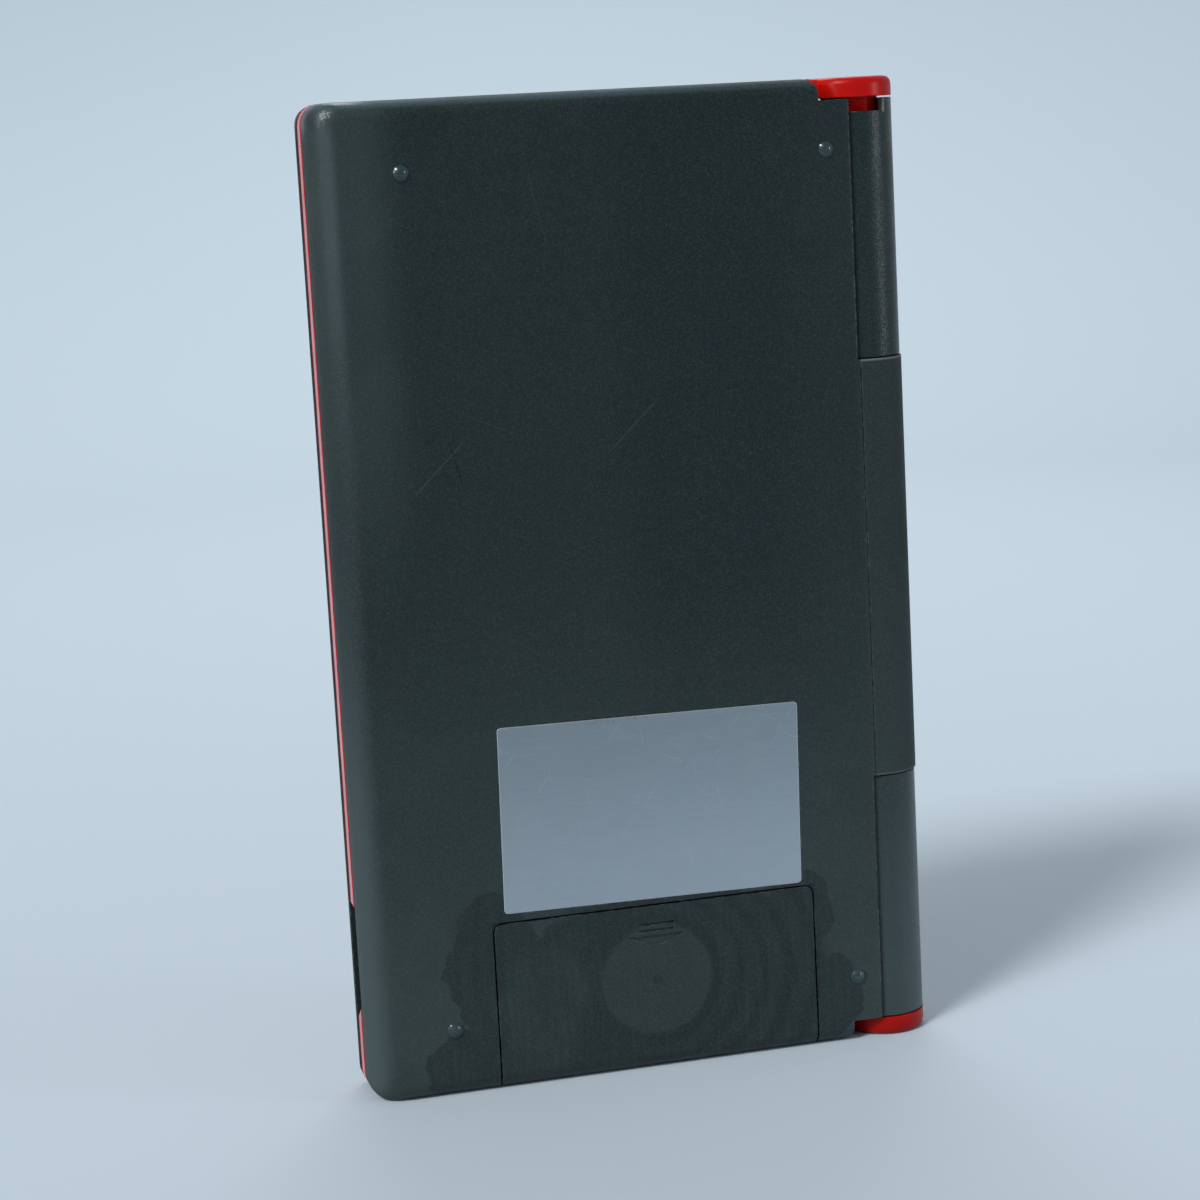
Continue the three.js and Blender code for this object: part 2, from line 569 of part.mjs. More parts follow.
function lidShell() {
  const [bottom, top] = [LID_END_INSET, HEIGHT - LID_END_INSET];
  const edge = LID_EDGE_RADIUS;
  const plan = plate(AXIS_X, bottom, SIDE_X, top, [0, CORNER_RADIUS, CORNER_RADIUS, 0]);
  const across = plate(AXIS_X, LID_OUTER_Y, SIDE_X, LID_INNER_Y, [0, edge, 0, 0]);
  const ends = plate(LID_OUTER_Y, bottom, LID_INNER_Y, top, [edge, 0, 0, edge]);
  const sheet = prism(plan, 'y', LID_OUTER_Y, LID_INNER_Y)
    .intersect(prism(across, 'z', bottom, top, SMALL_CURVE_STEPS))
    .intersect(prism(ends, 'x', AXIS_X, SIDE_X, SMALL_CURVE_STEPS));
  const clear = [rod(AXIS_X, 0, CHANNEL_RADIUS, KNUCKLE_END, HEIGHT - KNUCKLE_END)];
  const knuckles = [];
  const bores = [];
  for (const atTop of [false, true]) {
    clear.push(rod(AXIS_X, 0, CHANNEL_RADIUS, ...fromEnd(atTop, -OVERRUN, KNUCKLE_START)));
    knuckles.push(rod(AXIS_X, 0, LID_KNUCKLE_RADIUS, ...fromEnd(atTop, KNUCKLE_START, KNUCKLE_END)));
    bores.push(rod(AXIS_X, 0, STUB_RADIUS + STUB_GAP,
      ...fromEnd(atTop, KNUCKLE_START - OVERRUN, EAR_HEIGHT + STUB_LENGTH + FIT), ROUND_STEPS));
    bores.push(rod(AXIS_X, 0, PIN_RADIUS + FIT,
      ...fromEnd(atTop, KNUCKLE_END - PIN_ENGAGEMENT - FIT, KNUCKLE_END + OVERRUN), ROUND_STEPS));
  }
  const notch = block(AXIS_X - CAP_NOTCH_REACH, AXIS_X + LID_KNUCKLE_RADIUS, 0, LID_KNUCKLE_RADIUS,
    HEIGHT - KNUCKLE_START - CAP_NOTCH_DEPTH, HEIGHT);
  const linerSeat = prism(linerPlan(FIT), 'y', LID_INNER_Y - LINER_THICKNESS, LID_INNER_Y + OVERRUN);
  return without(joined([without(sheet, clear), ...knuckles]), [...bores, notch, linerSeat]);
}

function linerPlan(gap) {
  const left = INSIDE_X + LINER_MARGIN - gap;
  const margin = WALL + LINER_MARGIN - gap;
  return plate(left, margin, SIDE_X - margin, HEIGHT - margin, Array(4).fill(LINER_CORNER_RADIUS + gap));
}

function lidLiner() {
  return prism(linerPlan(0), 'y', LID_INNER_Y - LINER_THICKNESS, LID_INNER_Y);
}

function batteryDoor() {
  const half = DOOR_HALF_WIDTH;
  const radius = DOOR_CORNER_RADIUS;
  const outline = plate(-half, DOOR_BOTTOM_INSET, half, DOOR_TOP, [0, 0, radius, radius]);
  const lipTop = DOOR_BOTTOM_INSET + DOOR_LIP_THICKNESS;
  const blank = joined([
    prism(outline, 'y', DOOR_INNER, COVER_DEPTH, SMALL_CURVE_STEPS),
    block(-half, half, COVER_DEPTH - DOOR_LIP_DEPTH, COVER_DEPTH, DOOR_BOTTOM_INSET, lipTop),
  ]).intersect(coverForm(AXIS_X, 0, 0));
  const tongues = [];
  for (const side of [-1, 1]) {
    const rib = [side * (half - TONGUE_INSET), side * (half - TONGUE_INSET + TONGUE_RIB)];
    const tongue = [side * (half - TONGUE_INSET), side * (half + TONGUE_REACH)];
    const back = DOOR_INNER - FIT * 2;
    const front = back - TONGUE_THICKNESS;
    tongues.push(block(Math.min(...rib), Math.max(...rib), front, COVER_DEPTH - DOOR_THICKNESS / 2,
      TONGUE_BOTTOM, TONGUE_TOP));
    tongues.push(block(Math.min(...tongue), Math.max(...tongue), front, back, TONGUE_BOTTOM, TONGUE_TOP));
  }
  const top = DOOR_TOP - ARROW_FROM_TOP;
  const neck = top - ARROW_SHAFT_LENGTH;
  const arrow = polygon([
    [-ARROW_SHAFT_WIDTH / 2, top],
    [-ARROW_SHAFT_WIDTH / 2, neck],
    [-ARROW_HEAD_WIDTH / 2, neck],
    [-ARROW_TIP_WIDTH / 2, neck - ARROW_HEAD_LENGTH],
    [ARROW_TIP_WIDTH / 2, neck - ARROW_HEAD_LENGTH],
    [ARROW_HEAD_WIDTH / 2, neck],
    [ARROW_SHAFT_WIDTH / 2, neck],
    [ARROW_SHAFT_WIDTH / 2, top],
  ]);
  let sunk = prism(arrow, 'y', COVER_DEPTH - ARROW_DEPTH, COVER_DEPTH + OVERRUN);
  for (let rib = 0; rib < ARROW_RIBS; rib += 1) {
    const z = neck + rib * (ARROW_SHAFT_LENGTH / ARROW_RIBS);
    sunk = sunk.subtract(block(-ARROW_HEAD_WIDTH, ARROW_HEAD_WIDTH, COVER_DEPTH - DOOR_THICKNESS,
      COVER_DEPTH + OVERRUN, z, z + ARROW_RIB_HEIGHT));
  }
  return joined([blank, ...tongues]).subtract(sunk);
}

// Coin cell: wide can towards the door, narrower cap towards the contact
function coinCell(side) {
  const cap = CELL_RADIUS - CELL_RIM;
  const profile = [
    [0, 0],
    [cap, 0],
    [cap, CELL_STEP],
    [CELL_RADIUS - CELL_STEP, CELL_STEP],
    [CELL_RADIUS, CELL_STEP * 2],
    [CELL_RADIUS, CELL_HEIGHT],
    [0, CELL_HEIGHT],
  ];
  return turned(profile, side * CELL_OFFSET, WELL_FLOOR + CONTACT_THICKNESS, CELL_CENTRE_Z, ROUND_STEPS);
}

// Leaf contact on the floor of a well, with a round pad under the middle of the cell
function leafContact(side) {
  const x = side * CELL_OFFSET;
  const half = CONTACT_WIDTH / 2;
  const back = WELL_FLOOR + CONTACT_THICKNESS;
  const top = CELL_CENTRE_Z + WELL_RADIUS - FIT;
  const arm = plate(x - half, top - CONTACT_LENGTH, x + half, top - half, Array(4).fill(half / 2));
  const pad = disc(x, CELL_CENTRE_Z, CONTACT_PAD_RADIUS, SMALL_STEPS);
  return joined([
    prism(arm, 'y', WELL_FLOOR, back, SMALL_CURVE_STEPS),
    prism(pad, 'y', WELL_FLOOR, back),
  ]);
}

function contactBridge() {
  const half = CELL_OFFSET - CELL_RADIUS - FIT;
  const front = WELL_FLOOR + CONTACT_THICKNESS;
  return block(-half, half, front, front + CELL_HEIGHT - FIT,
    CELL_CENTRE_Z - BRIDGE_THICKNESS / 2, CELL_CENTRE_Z + BRIDGE_THICKNESS / 2);
}

function keyDeck(keys) {
  const outline = insidePlan(FIT);
  const [holeHeight, holeRadius] = [KEY_HEIGHT + FIT * 2, KEY_CORNER_RADIUS + FIT];
  outline.holes.push(
    centredPlate(DECK_CENTRE_X, DISPLAY_CENTRE_Z, WINDOW_WIDTH, WINDOW_HEIGHT, KEY_CORNER_RADIUS),
    ...keys.map((key) => centredPlate(key.x, key.z, key.width + FIT * 2, holeHeight, holeRadius)),
  );
  const lensSeat = lensPlan(FIT);
  const skirtBack = SIDE_X - WALL - BOARD_MARGIN;
  const pieces = [
    prism(outline, 'y', DECK_FRONT, DECK_BACK, SMALL_CURVE_STEPS),
    block(skirtBack - SKIRT_THICKNESS, skirtBack, DECK_FRONT + DECK_THICKNESS / 2, BOARD_FRONT - FIT,
      SCOOP_BOTTOM - SKIRT_MARGIN, SCOOP_TOP + SKIRT_MARGIN),
  ];
  const cuts = [prism(lensSeat, 'y', DECK_FRONT - OVERRUN, DECK_FRONT + LENS_THICKNESS, SMALL_CURVE_STEPS)];
  for (const [x, z] of bossPlaces()) {
    const boss = disc(x, z, BOSS_RADIUS, SMALL_STEPS);
    const bore = disc(x, z, SCREW_SHANK_RADIUS + FIT, SMALL_STEPS);
    pieces.push(prism(boss, 'y', DECK_BACK - DECK_THICKNESS / 2, BOARD_FRONT - FIT));
    cuts.push(prism(bore, 'y', BOARD_BACK - SCREW_LENGTH - FIT, BOARD_FRONT));
  }
  return without(joined(pieces), cuts);
}

function lensPlan(gap) {
  const width = WINDOW_WIDTH + LENS_BORDER * 2 + gap * 2;
  const height = WINDOW_HEIGHT + LENS_BORDER * 2 + gap * 2;
  return centredPlate(DECK_CENTRE_X, DISPLAY_CENTRE_Z, width, height, KEY_CORNER_RADIUS + gap);
}

function displayWindow() {
  return prism(lensPlan(0), 'y', DECK_FRONT, DECK_FRONT + LENS_THICKNESS, SMALL_CURVE_STEPS);
}

function bossPlaces() {
  const places = [];
  for (const z of [LOWER_BOSS_Z, UPPER_BOSS_Z]) {
    places.push([DECK_CENTRE_X - BOSS_OFFSET, z], [DECK_CENTRE_X + BOSS_OFFSET, z]);
  }
  return places;
}

// Display glass: a back glass with a shorter front glass that leaves the connector's ledge free
function lcdPanel() {
  const half = WINDOW_WIDTH / 2 + LCD_BORDER;
  const bottom = DISPLAY_CENTRE_Z - WINDOW_HEIGHT / 2 - LCD_BORDER;
  const top = DISPLAY_CENTRE_Z + WINDOW_HEIGHT / 2 + LCD_BORDER;
  const front = DECK_BACK + FIT;
  const middle = front + LCD_THICKNESS / 2;
  return joined([
    block(DECK_CENTRE_X - half, DECK_CENTRE_X + half, front, middle, bottom, top),
    block(DECK_CENTRE_X - half, DECK_CENTRE_X + half, middle, front + LCD_THICKNESS, bottom, top - LCD_LEDGE),
  ]);
}

function lcdConnector() {
  const half = WINDOW_WIDTH / 2 - CONNECTOR_MARGIN;
  const bottom = DISPLAY_CENTRE_Z - WINDOW_HEIGHT / 2 - LCD_BORDER;
  return block(DECK_CENTRE_X - half, DECK_CENTRE_X + half, DECK_BACK + FIT + LCD_THICKNESS, BOARD_FRONT,
    bottom, bottom + CONNECTOR_HEIGHT);
}

function circuitBoard() {
  const [left, right] = [INSIDE_X + BOARD_MARGIN, SIDE_X - WALL - BOARD_MARGIN];
  const end = WALL + BOARD_END_MARGIN;
  const outline = plate(left, end, right, HEIGHT - end, Array(4).fill(BOARD_CORNER_RADIUS));
  for (const [x, z] of bossPlaces()) {
    outline.holes.push(disc(x, z, SCREW_SHANK_RADIUS + FIT, SMALL_STEPS));
  }
  return prism(outline, 'y', BOARD_FRONT, BOARD_BACK, SMALL_CURVE_STEPS);
}

function keyMat(keys) {
  const zs = keys.map((key) => key.z);
  const reach = KEY_HEIGHT / 2 + KEY_FLANGE + MAT_MARGIN;
  const half = KEY_PITCH_X * (KEY_COLUMNS - 1) / 2 + KEY_WIDTH / 2 + KEY_FLANGE;
  const [bottom, top] = [Math.min(...zs) - reach, Math.max(...zs) + reach];
  const radii = Array(4).fill(MAT_MARGIN);
  const outline = plate(DECK_CENTRE_X - half, bottom, DECK_CENTRE_X + half, top, radii);
  for (const [x, z] of bossPlaces().slice(0, 2)) {
    outline.holes.push(disc(x, z, BOSS_RADIUS + FIT, SMALL_STEPS));
  }
  const sheet = prism(outline, 'y', MAT_FRONT, BOARD_FRONT, SMALL_CURVE_STEPS);
  const domes = keys.map((key) => {
    const height = BOARD_FRONT - DOME_FRONT;
    const profile = [
      [0, -height],
      [DOME_TOP_RADIUS, -height],
      [DOME_BASE_RADIUS, -height + DOME_HEIGHT],
      [DOME_BASE_RADIUS, -MAT_THICKNESS / 2],
      [0, -MAT_THICKNESS / 2],
    ];
    return turned(profile, key.x, BOARD_FRONT, key.z, 8);
  });
  return joined([sheet, ...domes]);
}

// Key: tapered cap that stands through the deck, on a flange that holds it under the deck
function keyCap(key) {
  const height = KEY_BACK - KEY_FRONT - KEY_BEVEL * 2;
  const geometry = new THREE.ExtrudeGeometry(
    centredPlate(key.x, key.z, key.width, KEY_HEIGHT, KEY_CORNER_RADIUS),
    {
      depth: height,
      bevelThickness: KEY_BEVEL,
      bevelSize: KEY_BEVEL,
      bevelOffset: -KEY_BEVEL,
      bevelSegments: 1,
      curveSegments: SMALL_CURVE_STEPS,
    },
  );
  const back = KEY_BACK - KEY_BEVEL;
  geometry.applyMatrix4(new THREE.Matrix4().set(...DIRECTIONS.y(back - 1, back), 0, 0, 0, 1));
  const flange = centredPlate(key.x, key.z, key.width + KEY_FLANGE * 2, KEY_HEIGHT + KEY_FLANGE * 2, 0);
  return joined([solidOf(geometry), prism(flange, 'y', KEY_FLANGE_FRONT, KEY_BACK)]);
}

// Keys row by row from the top: the wide space bar takes two columns of the bottom row
function keyTable() {
  const letters = [...'abcdefghijklmnopqrstuvwxyz'];
  const rows = [['on', 'off', 'clear', 'language', 'up', 'down']];
  for (let row = 0; row < KEY_ROWS - 2; row += 1) {
    rows.push(letters.splice(0, KEY_COLUMNS));
  }
  rows.push([...letters, 'space', 'delete', 'enter']);
  const keys = [];
  rows.forEach((names, row) => {
    let column = 0;
    for (const name of names) {
      const span = name === 'space' ? 2 : 1;
      const middle = column + (span - 1) / 2 - (KEY_COLUMNS - 1) / 2;
      keys.push({
        name: `key_${name}`,
        x: DECK_CENTRE_X + middle * KEY_PITCH_X,
        z: BOTTOM_ROW_Z + (rows.length - 1 - row) * KEY_PITCH_Z,
        width: KEY_WIDTH + (span - 1) * KEY_PITCH_X,
      });
      column += span;
    }
  });
  return keys;
}

// Outline of a chip's lead frame: teeth along the given sides
function leadFrame(x, z, width, height, leads, allSides) {
  const teeth = [];
  const pitch = (length) => length / (leads + 1);
  for (let lead = 1; lead <= leads; lead += 1) {
    const offset = -height / 2 + lead * pitch(height);
    teeth.push(centredPlate(x, z + offset, width + CHIP_LEAD_LENGTH * 2, CHIP_LEAD_WIDTH, 0));
    if (allSides) {
      const across = -width / 2 + lead * pitch(width);
      teeth.push(centredPlate(x + across, z, CHIP_LEAD_WIDTH, height + CHIP_LEAD_LENGTH * 2, 0));
    }
  }
  return teeth.map((tooth) => prism(tooth, 'y', BOARD_BACK, BOARD_BACK + CHIP_LEAD_THICKNESS));
}

function chip(x, z, width, height, leads, allSides) {
  const body = centredPlate(x, z, width, height, CHIP_LEAD_WIDTH);
  return joined([
    prism(body, 'y', BOARD_BACK, BOARD_BACK + CHIP_THICKNESS, SMALL_CURVE_STEPS),
    ...leadFrame(x, z, width, height, leads, allSides),
  ]);
}

function mainChip() {
  const z = UPPER_BOSS_Z - MAIN_CHIP_DROP;
  return chip(DECK_CENTRE_X, z, MAIN_CHIP_SIDE, MAIN_CHIP_SIDE, MAIN_CHIP_LEADS, true);
}

// The second chip lies halfway between the two screws of its side
function romChip() {
  const z = (LOWER_BOSS_Z + UPPER_BOSS_Z) / 2;
  return chip(DECK_CENTRE_X + BOSS_OFFSET, z, ROM_CHIP_WIDTH, ROM_CHIP_HEIGHT, ROM_CHIP_LEADS, false);
}

function screw(x, z) {
  const profile = [
    [0, -SCREW_LENGTH],
    [SCREW_SHANK_RADIUS / 2, -SCREW_LENGTH],
    [SCREW_SHANK_RADIUS, -SCREW_LENGTH + SCREW_SHANK_RADIUS],
    [SCREW_SHANK_RADIUS, 0],
    [SCREW_HEAD_RADIUS, 0],
    [SCREW_HEAD_RADIUS, SCREW_HEAD_HEIGHT / 2],
    [SCREW_HEAD_RADIUS - SCREW_HEAD_HEIGHT / 2, SCREW_HEAD_HEIGHT],
    [DRIVE_RADIUS, SCREW_HEAD_HEIGHT],
    [DRIVE_RADIUS / 2, SCREW_HEAD_HEIGHT - DRIVE_DEPTH],
    [0, SCREW_HEAD_HEIGHT - DRIVE_DEPTH],
  ];
  return turned(profile, x, BOARD_BACK, z, SMALL_STEPS);
}

function hingePin() {
  const from = KNUCKLE_END - PIN_ENGAGEMENT;
  return rod(AXIS_X, 0, PIN_RADIUS, from, HEIGHT - from, SMALL_STEPS);
}

function soundDisc() {
  const shape = disc(DECK_CENTRE_X, DISPLAY_CENTRE_Z, SOUND_RADIUS, ROUND_STEPS);
  return prism(shape, 'y', CAVITY_BACK - SOUND_THICKNESS, CAVITY_BACK);
}

const FINISHES = {
  coverPaint: { color: 0x3b494b, roughness: 0.42, metalness: 0.35 },
  framePlastic: { color: 0x8c1620, roughness: 0.3, metalness: 0 },
  lidPaint: { color: 0x333d40, roughness: 0.4, metalness: 0.35 },
  labelFoil: { color: 0xb4b9bb, roughness: 0.35, metalness: 0.8 },
  deckPlastic: { color: 0x1f2223, roughness: 0.55, metalness: 0 },
  linerPlastic: { color: 0x2a2e30, roughness: 0.6, metalness: 0 },
  keyPlastic: { color: 0xb9bcb8, roughness: 0.5, metalness: 0 },
  lens: { color: 0x9fb0a8, roughness: 0.08, metalness: 0 },
  glass: { color: 0x7d8f7c, roughness: 0.12, metalness: 0 },
  rubber: { color: 0x8a8d88, roughness: 0.85, metalness: 0 },
  board: { color: 0x1e5a38, roughness: 0.45, metalness: 0 },
  chipBlack: { color: 0x161718, roughness: 0.5, metalness: 0 },
  steel: { color: 0xb8babc, roughness: 0.3, metalness: 1 },
  brass: { color: 0xb08d4a, roughness: 0.35, metalness: 1 },
};

const dictionary = new THREE.Group();

function place(name, solid, finish) {
  const mesh = solid.getMesh();
  const geometry = new THREE.BufferGeometry();
  geometry.setAttribute('position', new THREE.BufferAttribute(mesh.vertProperties, 3));
  geometry.setIndex(new THREE.BufferAttribute(mesh.triVerts, 1));
  geometry.computeVertexNormals();
  const piece = new THREE.Mesh(geometry, new THREE.MeshStandardMaterial(FINISHES[finish]));
  piece.name = name;
  dictionary.add(piece);
}

const keys = keyTable();

place('rear_cover', rearCover(), 'coverPaint');
place('mid_frame', midFrame(), 'framePlastic');
place('lid_shell', lidShell(), 'lidPaint');
place('lid_liner', lidLiner(), 'linerPlastic');
place('hinge_pin', hingePin(), 'steel');
place('label', labelForm(0, COVER_DEPTH - LABEL_THICKNESS, COVER_DEPTH), 'labelFoil');
place('battery_door', batteryDoor(), 'coverPaint');
place('key_deck', keyDeck(keys), 'deckPlastic');
place('display_window', displayWindow(), 'lens');
place('lcd_panel', lcdPanel(), 'glass');
place('lcd_connector', lcdConnector(), 'rubber');
place('key_mat', keyMat(keys), 'rubber');
place('circuit_board', circuitBoard(), 'board');
place('main_chip', mainChip(), 'chipBlack');
place('rom_chip', romChip(), 'chipBlack');
place('contact_bridge', contactBridge(), 'brass');
place('sound_disc', soundDisc(), 'brass');
[-1, 1].forEach((side, index) => {
  place(`cell_${index + 1}`, coinCell(side), 'steel');
  place(`contact_${index + 1}`, leafContact(side), 'brass');
});
bossPlaces().forEach(([x, z], index) => place(`screw_${index + 1}`, screw(x, z), 'steel'));
keys.forEach((key) => place(key.name, keyCap(key), 'keyPlastic'));

dictionary.position.y = -FOOT_HEIGHT / 2;

export default dictionary;
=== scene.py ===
import math

import bmesh
import bpy
import numpy as np
from mathutils import Matrix, Vector


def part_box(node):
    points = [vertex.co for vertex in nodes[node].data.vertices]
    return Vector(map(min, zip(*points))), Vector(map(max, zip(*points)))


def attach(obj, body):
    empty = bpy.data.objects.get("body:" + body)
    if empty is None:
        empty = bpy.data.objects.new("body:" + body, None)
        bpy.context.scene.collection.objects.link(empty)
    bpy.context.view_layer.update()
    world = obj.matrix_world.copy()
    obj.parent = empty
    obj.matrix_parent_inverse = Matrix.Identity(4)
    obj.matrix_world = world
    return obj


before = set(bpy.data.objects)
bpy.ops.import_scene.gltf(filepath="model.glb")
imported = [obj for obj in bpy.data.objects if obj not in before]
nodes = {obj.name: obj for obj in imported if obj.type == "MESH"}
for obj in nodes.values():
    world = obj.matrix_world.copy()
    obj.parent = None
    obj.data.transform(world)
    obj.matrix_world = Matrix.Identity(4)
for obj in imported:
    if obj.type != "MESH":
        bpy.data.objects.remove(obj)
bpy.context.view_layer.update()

# Red middle frame
# The real piece is one injection moulding in glossy red ABS, dyed through: a thin wall between the two dark
# halves, whose ends carry the round ears and the stubs that the lid turns on. The rear cover's lip clips
# into it all round.
MILLIMETRES = 1000.0
WELD_REACH = 2e-6


def add(tree, kind, sockets=None, **settings):
    """A shader node of that kind with its settings; its sockets are set to values or fed from others."""
    node = tree.nodes.new("ShaderNode" + kind)
    for name, value in settings.items():
        setattr(node, name, value)
    for name, value in (sockets or {}).items():
        if isinstance(value, bpy.types.NodeSocket):
            tree.links.new(value, node.inputs[name])
        else:
            node.inputs[name].default_value = value
    return node


def math_of(tree, operation, *values, clamp=False):
    return add(tree, "Math", dict(enumerate(values)), operation=operation, use_clamp=clamp).outputs[0]


def between(tree, value, low, high, start=0.0, end=1.0):
    """The value read from low to high as a smooth step from start to end."""
    sockets = {"Value": value, "From Min": low, "From Max": high, "To Min": start, "To Max": end}
    return add(tree, "MapRange", sockets, interpolation_type="SMOOTHSTEP").outputs[0]


def away_from(tree, value, middle):
    """How far the value is from the middle, to either side."""
    return math_of(tree, "ABSOLUTE", math_of(tree, "SUBTRACT", value, middle))


def zone(tree, strength, *spans):
    """A mask of that strength, which each value brings in smoothly along its own span."""
    mask = strength
    for value, (low, high) in spans:
        mask = math_of(tree, "MULTIPLY", mask, between(tree, value, low, high))
    return mask


def tint(tree, factor, base, over):
    """Colour over laid on colour base by the factor."""
    sockets = {0: factor, 6: base, 7: over}
    return add(tree, "Mix", sockets, data_type="RGBA", blend_type="MIX", clamp_factor=True).outputs[2]


def tint_by(tree, mask, share, base, over):
    """Colour over laid on colour base by a share of the mask."""
    return tint(tree, math_of(tree, "MULTIPLY", mask, share), base, over)


def clouds(tree, vector, scale, detail, roughness):
    """Soft random values between 0 and 1 over the place."""
    sockets = {"Vector": vector, "Scale": scale, "Detail": detail, "Roughness": roughness}
    return add(tree, "TexNoise", sockets).outputs[0]


def effect(name, inputs, outputs):
    """An empty node group with named sockets, and its inlet and outlet."""
    group = bpy.data.node_groups.new(name, "ShaderNodeTree")
    for socket, kind, default in inputs:
        made = group.interface.new_socket(socket, in_out="INPUT", socket_type="NodeSocket" + kind)
        if default is not None:
            made.default_value = default
    for socket, kind in outputs:
        group.interface.new_socket(socket, in_out="OUTPUT", socket_type="NodeSocket" + kind)
    return group, group.nodes.new("NodeGroupInput").outputs, group.nodes.new("NodeGroupOutput")


def use(tree, group, **sockets):
    """The effect placed in a finish; a socket's name is written with underlines for its blanks."""
    node = tree.nodes.new("ShaderNodeGroup")
    node.node_tree = group
    for name, value in sockets.items():
        socket = node.inputs[name.replace("_", " ")]
        if isinstance(value, bpy.types.NodeSocket):
            tree.links.new(value, socket)
        else:
            socket.default_value = value
    return node.outputs


def finish(name, **sockets):
    """A new finish with one plain glossy shader, whose constant sockets are set here."""
    material = bpy.data.materials.new(name)
    material.use_nodes = True
    tree = material.node_tree
    shader = tree.nodes["Principled BSDF"]
    for socket, value in sockets.items():
        shader.inputs[socket.replace("_", " ")].default_value = value
    return material, tree, shader


def feed(tree, shader, **sockets):
    for name, value in sockets.items():
        tree.links.new(value, shader.inputs[name.replace("_", " ")])


def place_of(tree):
    """Where a point is on the object, in millimetres."""
    place = add(tree, "TexCoord").outputs["Object"]
    return add(tree, "VectorMath", {0: place, "Scale": MILLIMETRES}, operation="SCALE").outputs[0]


def axes_of(tree, place):
    """The x, y and z of a place."""
    return tuple(add(tree, "SeparateXYZ", {0: place}).outputs)


def worn_gloss(tree, film, low, high, marks=None, dulled=0.0):
    """Roughness that goes from low to high where hands have left film, and is higher in the scratches."""
    gloss = between(tree, film, 0.0, 1.0, low, high)
    if marks is None:
        return gloss
    return math_of(tree, "ADD", gloss, math_of(tree, "MULTIPLY", marks, dulled))


def coat(names, material, smooth_angle=32):
    """Gives the finish to the nodes, and rounds their shading over the facets of curved faces."""
    for name in names:
        piece = nodes[name]
        piece.data.materials.clear()
        piece.data.materials.append(material)
        round_shading(piece, smooth_angle)


def round_shading(piece, smooth_angle):
    """Marks the faces smooth up to the angle; large flat faces keep their own direction."""
    piece.data.shade_smooth()
    weld = piece.modifiers.new("weld", "WELD")
    weld.merge_threshold = WELD_REACH
    split = piece.modifiers.new("edges", "NODES")
    split.node_group = smooth_by_angle(smooth_angle)
    weigh = piece.modifiers.new("shading", "WEIGHTED_NORMAL")
    weigh.keep_sharp = True
    weigh.mode = "FACE_AREA"
    weigh.weight = 100


def smooth_by_angle(angle):
    """A geometry recipe that marks edges sharper than the angle as sharp."""
    name = f"sharp_over_{angle}"
    if name in bpy.data.node_groups:
        return bpy.data.node_groups[name]
    tree = bpy.data.node_groups.new(name, "GeometryNodeTree")
    tree.interface.new_socket("Geometry", in_out="INPUT", socket_type="NodeSocketGeometry")
    tree.interface.new_socket("Geometry", in_out="OUTPUT", socket_type="NodeSocketGeometry")
    inlet = tree.nodes.new("NodeGroupInput")
    outlet = tree.nodes.new("NodeGroupOutput")
    edge = tree.nodes.new("GeometryNodeInputMeshEdgeAngle")
    compare = tree.nodes.new("FunctionNodeCompare")
    compare.operation = "LESS_EQUAL"
    compare.inputs[1].default_value = math.radians(angle)
    tree.links.new(edge.outputs[0], compare.inputs[0])
    shade = tree.nodes.new("GeometryNodeSetShadeSmooth")
    shade.domain = "EDGE"
    tree.links.new(inlet.outputs[0], shade.inputs[0])
    tree.links.new(compare.outputs[0], shade.inputs["Shade Smooth"])
    tree.links.new(shade.outputs[0], outlet.inputs[0])
    return tree


def make_grain():
    """Fine moulded or sprayed texture as a bent normal, and the same texture as a value."""
    group, given, out = effect("fine_grain", [
        ("Place", "Vector", None), ("Grain Size", "Float", 0.3), ("Depth", "Float", 0.01),
        ("Normal", "Vector", None),
    ], [("Normal", "Vector"), ("Value", "Float")])
    scale = math_of(group, "DIVIDE", 1.0, given["Grain Size"])
    texture = clouds(group, given["Place"], scale, 3.0, 0.6)
    depth = math_of(group, "DIVIDE", given["Depth"], MILLIMETRES)
    bump = add(group, "Bump", {
        "Strength": 1.0, "Distance": depth, "Height": texture, "Normal": given["Normal"],
    })
    group.links.new(bump.outputs[0], out.inputs["Normal"])
    group.links.new(texture, out.inputs["Value"])
    return group


RIM_AGREEMENT = (0.995, 0.86)
RIM_BREAKUP = 0.12


def make_rim():
    """Where a piece has outer edges: a slightly rounded normal, and a broken mask of rubbed rims."""
    group, given, out = effect("rubbed_rim", [
        ("Place", "Vector", None), ("Width", "Float", 0.2), ("Breakup Size", "Float", 2.0),
        ("Amount", "Float", 0.5),
    ], [("Normal", "Vector"), ("Mask", "Float")])
    radius = math_of(group, "DIVIDE", given["Width"], MILLIMETRES)
    rounded = add(group, "Bevel", {"Radius": radius}, samples=6)
    flat = add(group, "NewGeometry").outputs["Normal"]
    agree = add(group, "VectorMath", {0: rounded.outputs[0], 1: flat}, operation="DOT_PRODUCT")
    edge = between(group, agree.outputs["Value"], *RIM_AGREEMENT)
    scale = math_of(group, "DIVIDE", 1.0, given["Breakup Size"])
    breakup = clouds(group, given["Place"], scale, 6.0, 0.7)
    limit = math_of(group, "SUBTRACT", 1.0, given["Amount"])
    broken = between(group, breakup, math_of(group, "SUBTRACT", limit, RIM_BREAKUP),
                     math_of(group, "ADD", limit, RIM_BREAKUP))
    group.links.new(rounded.outputs[0], out.inputs["Normal"])
    group.links.new(math_of(group, "MULTIPLY", edge, broken), out.inputs["Mask"])
    return group


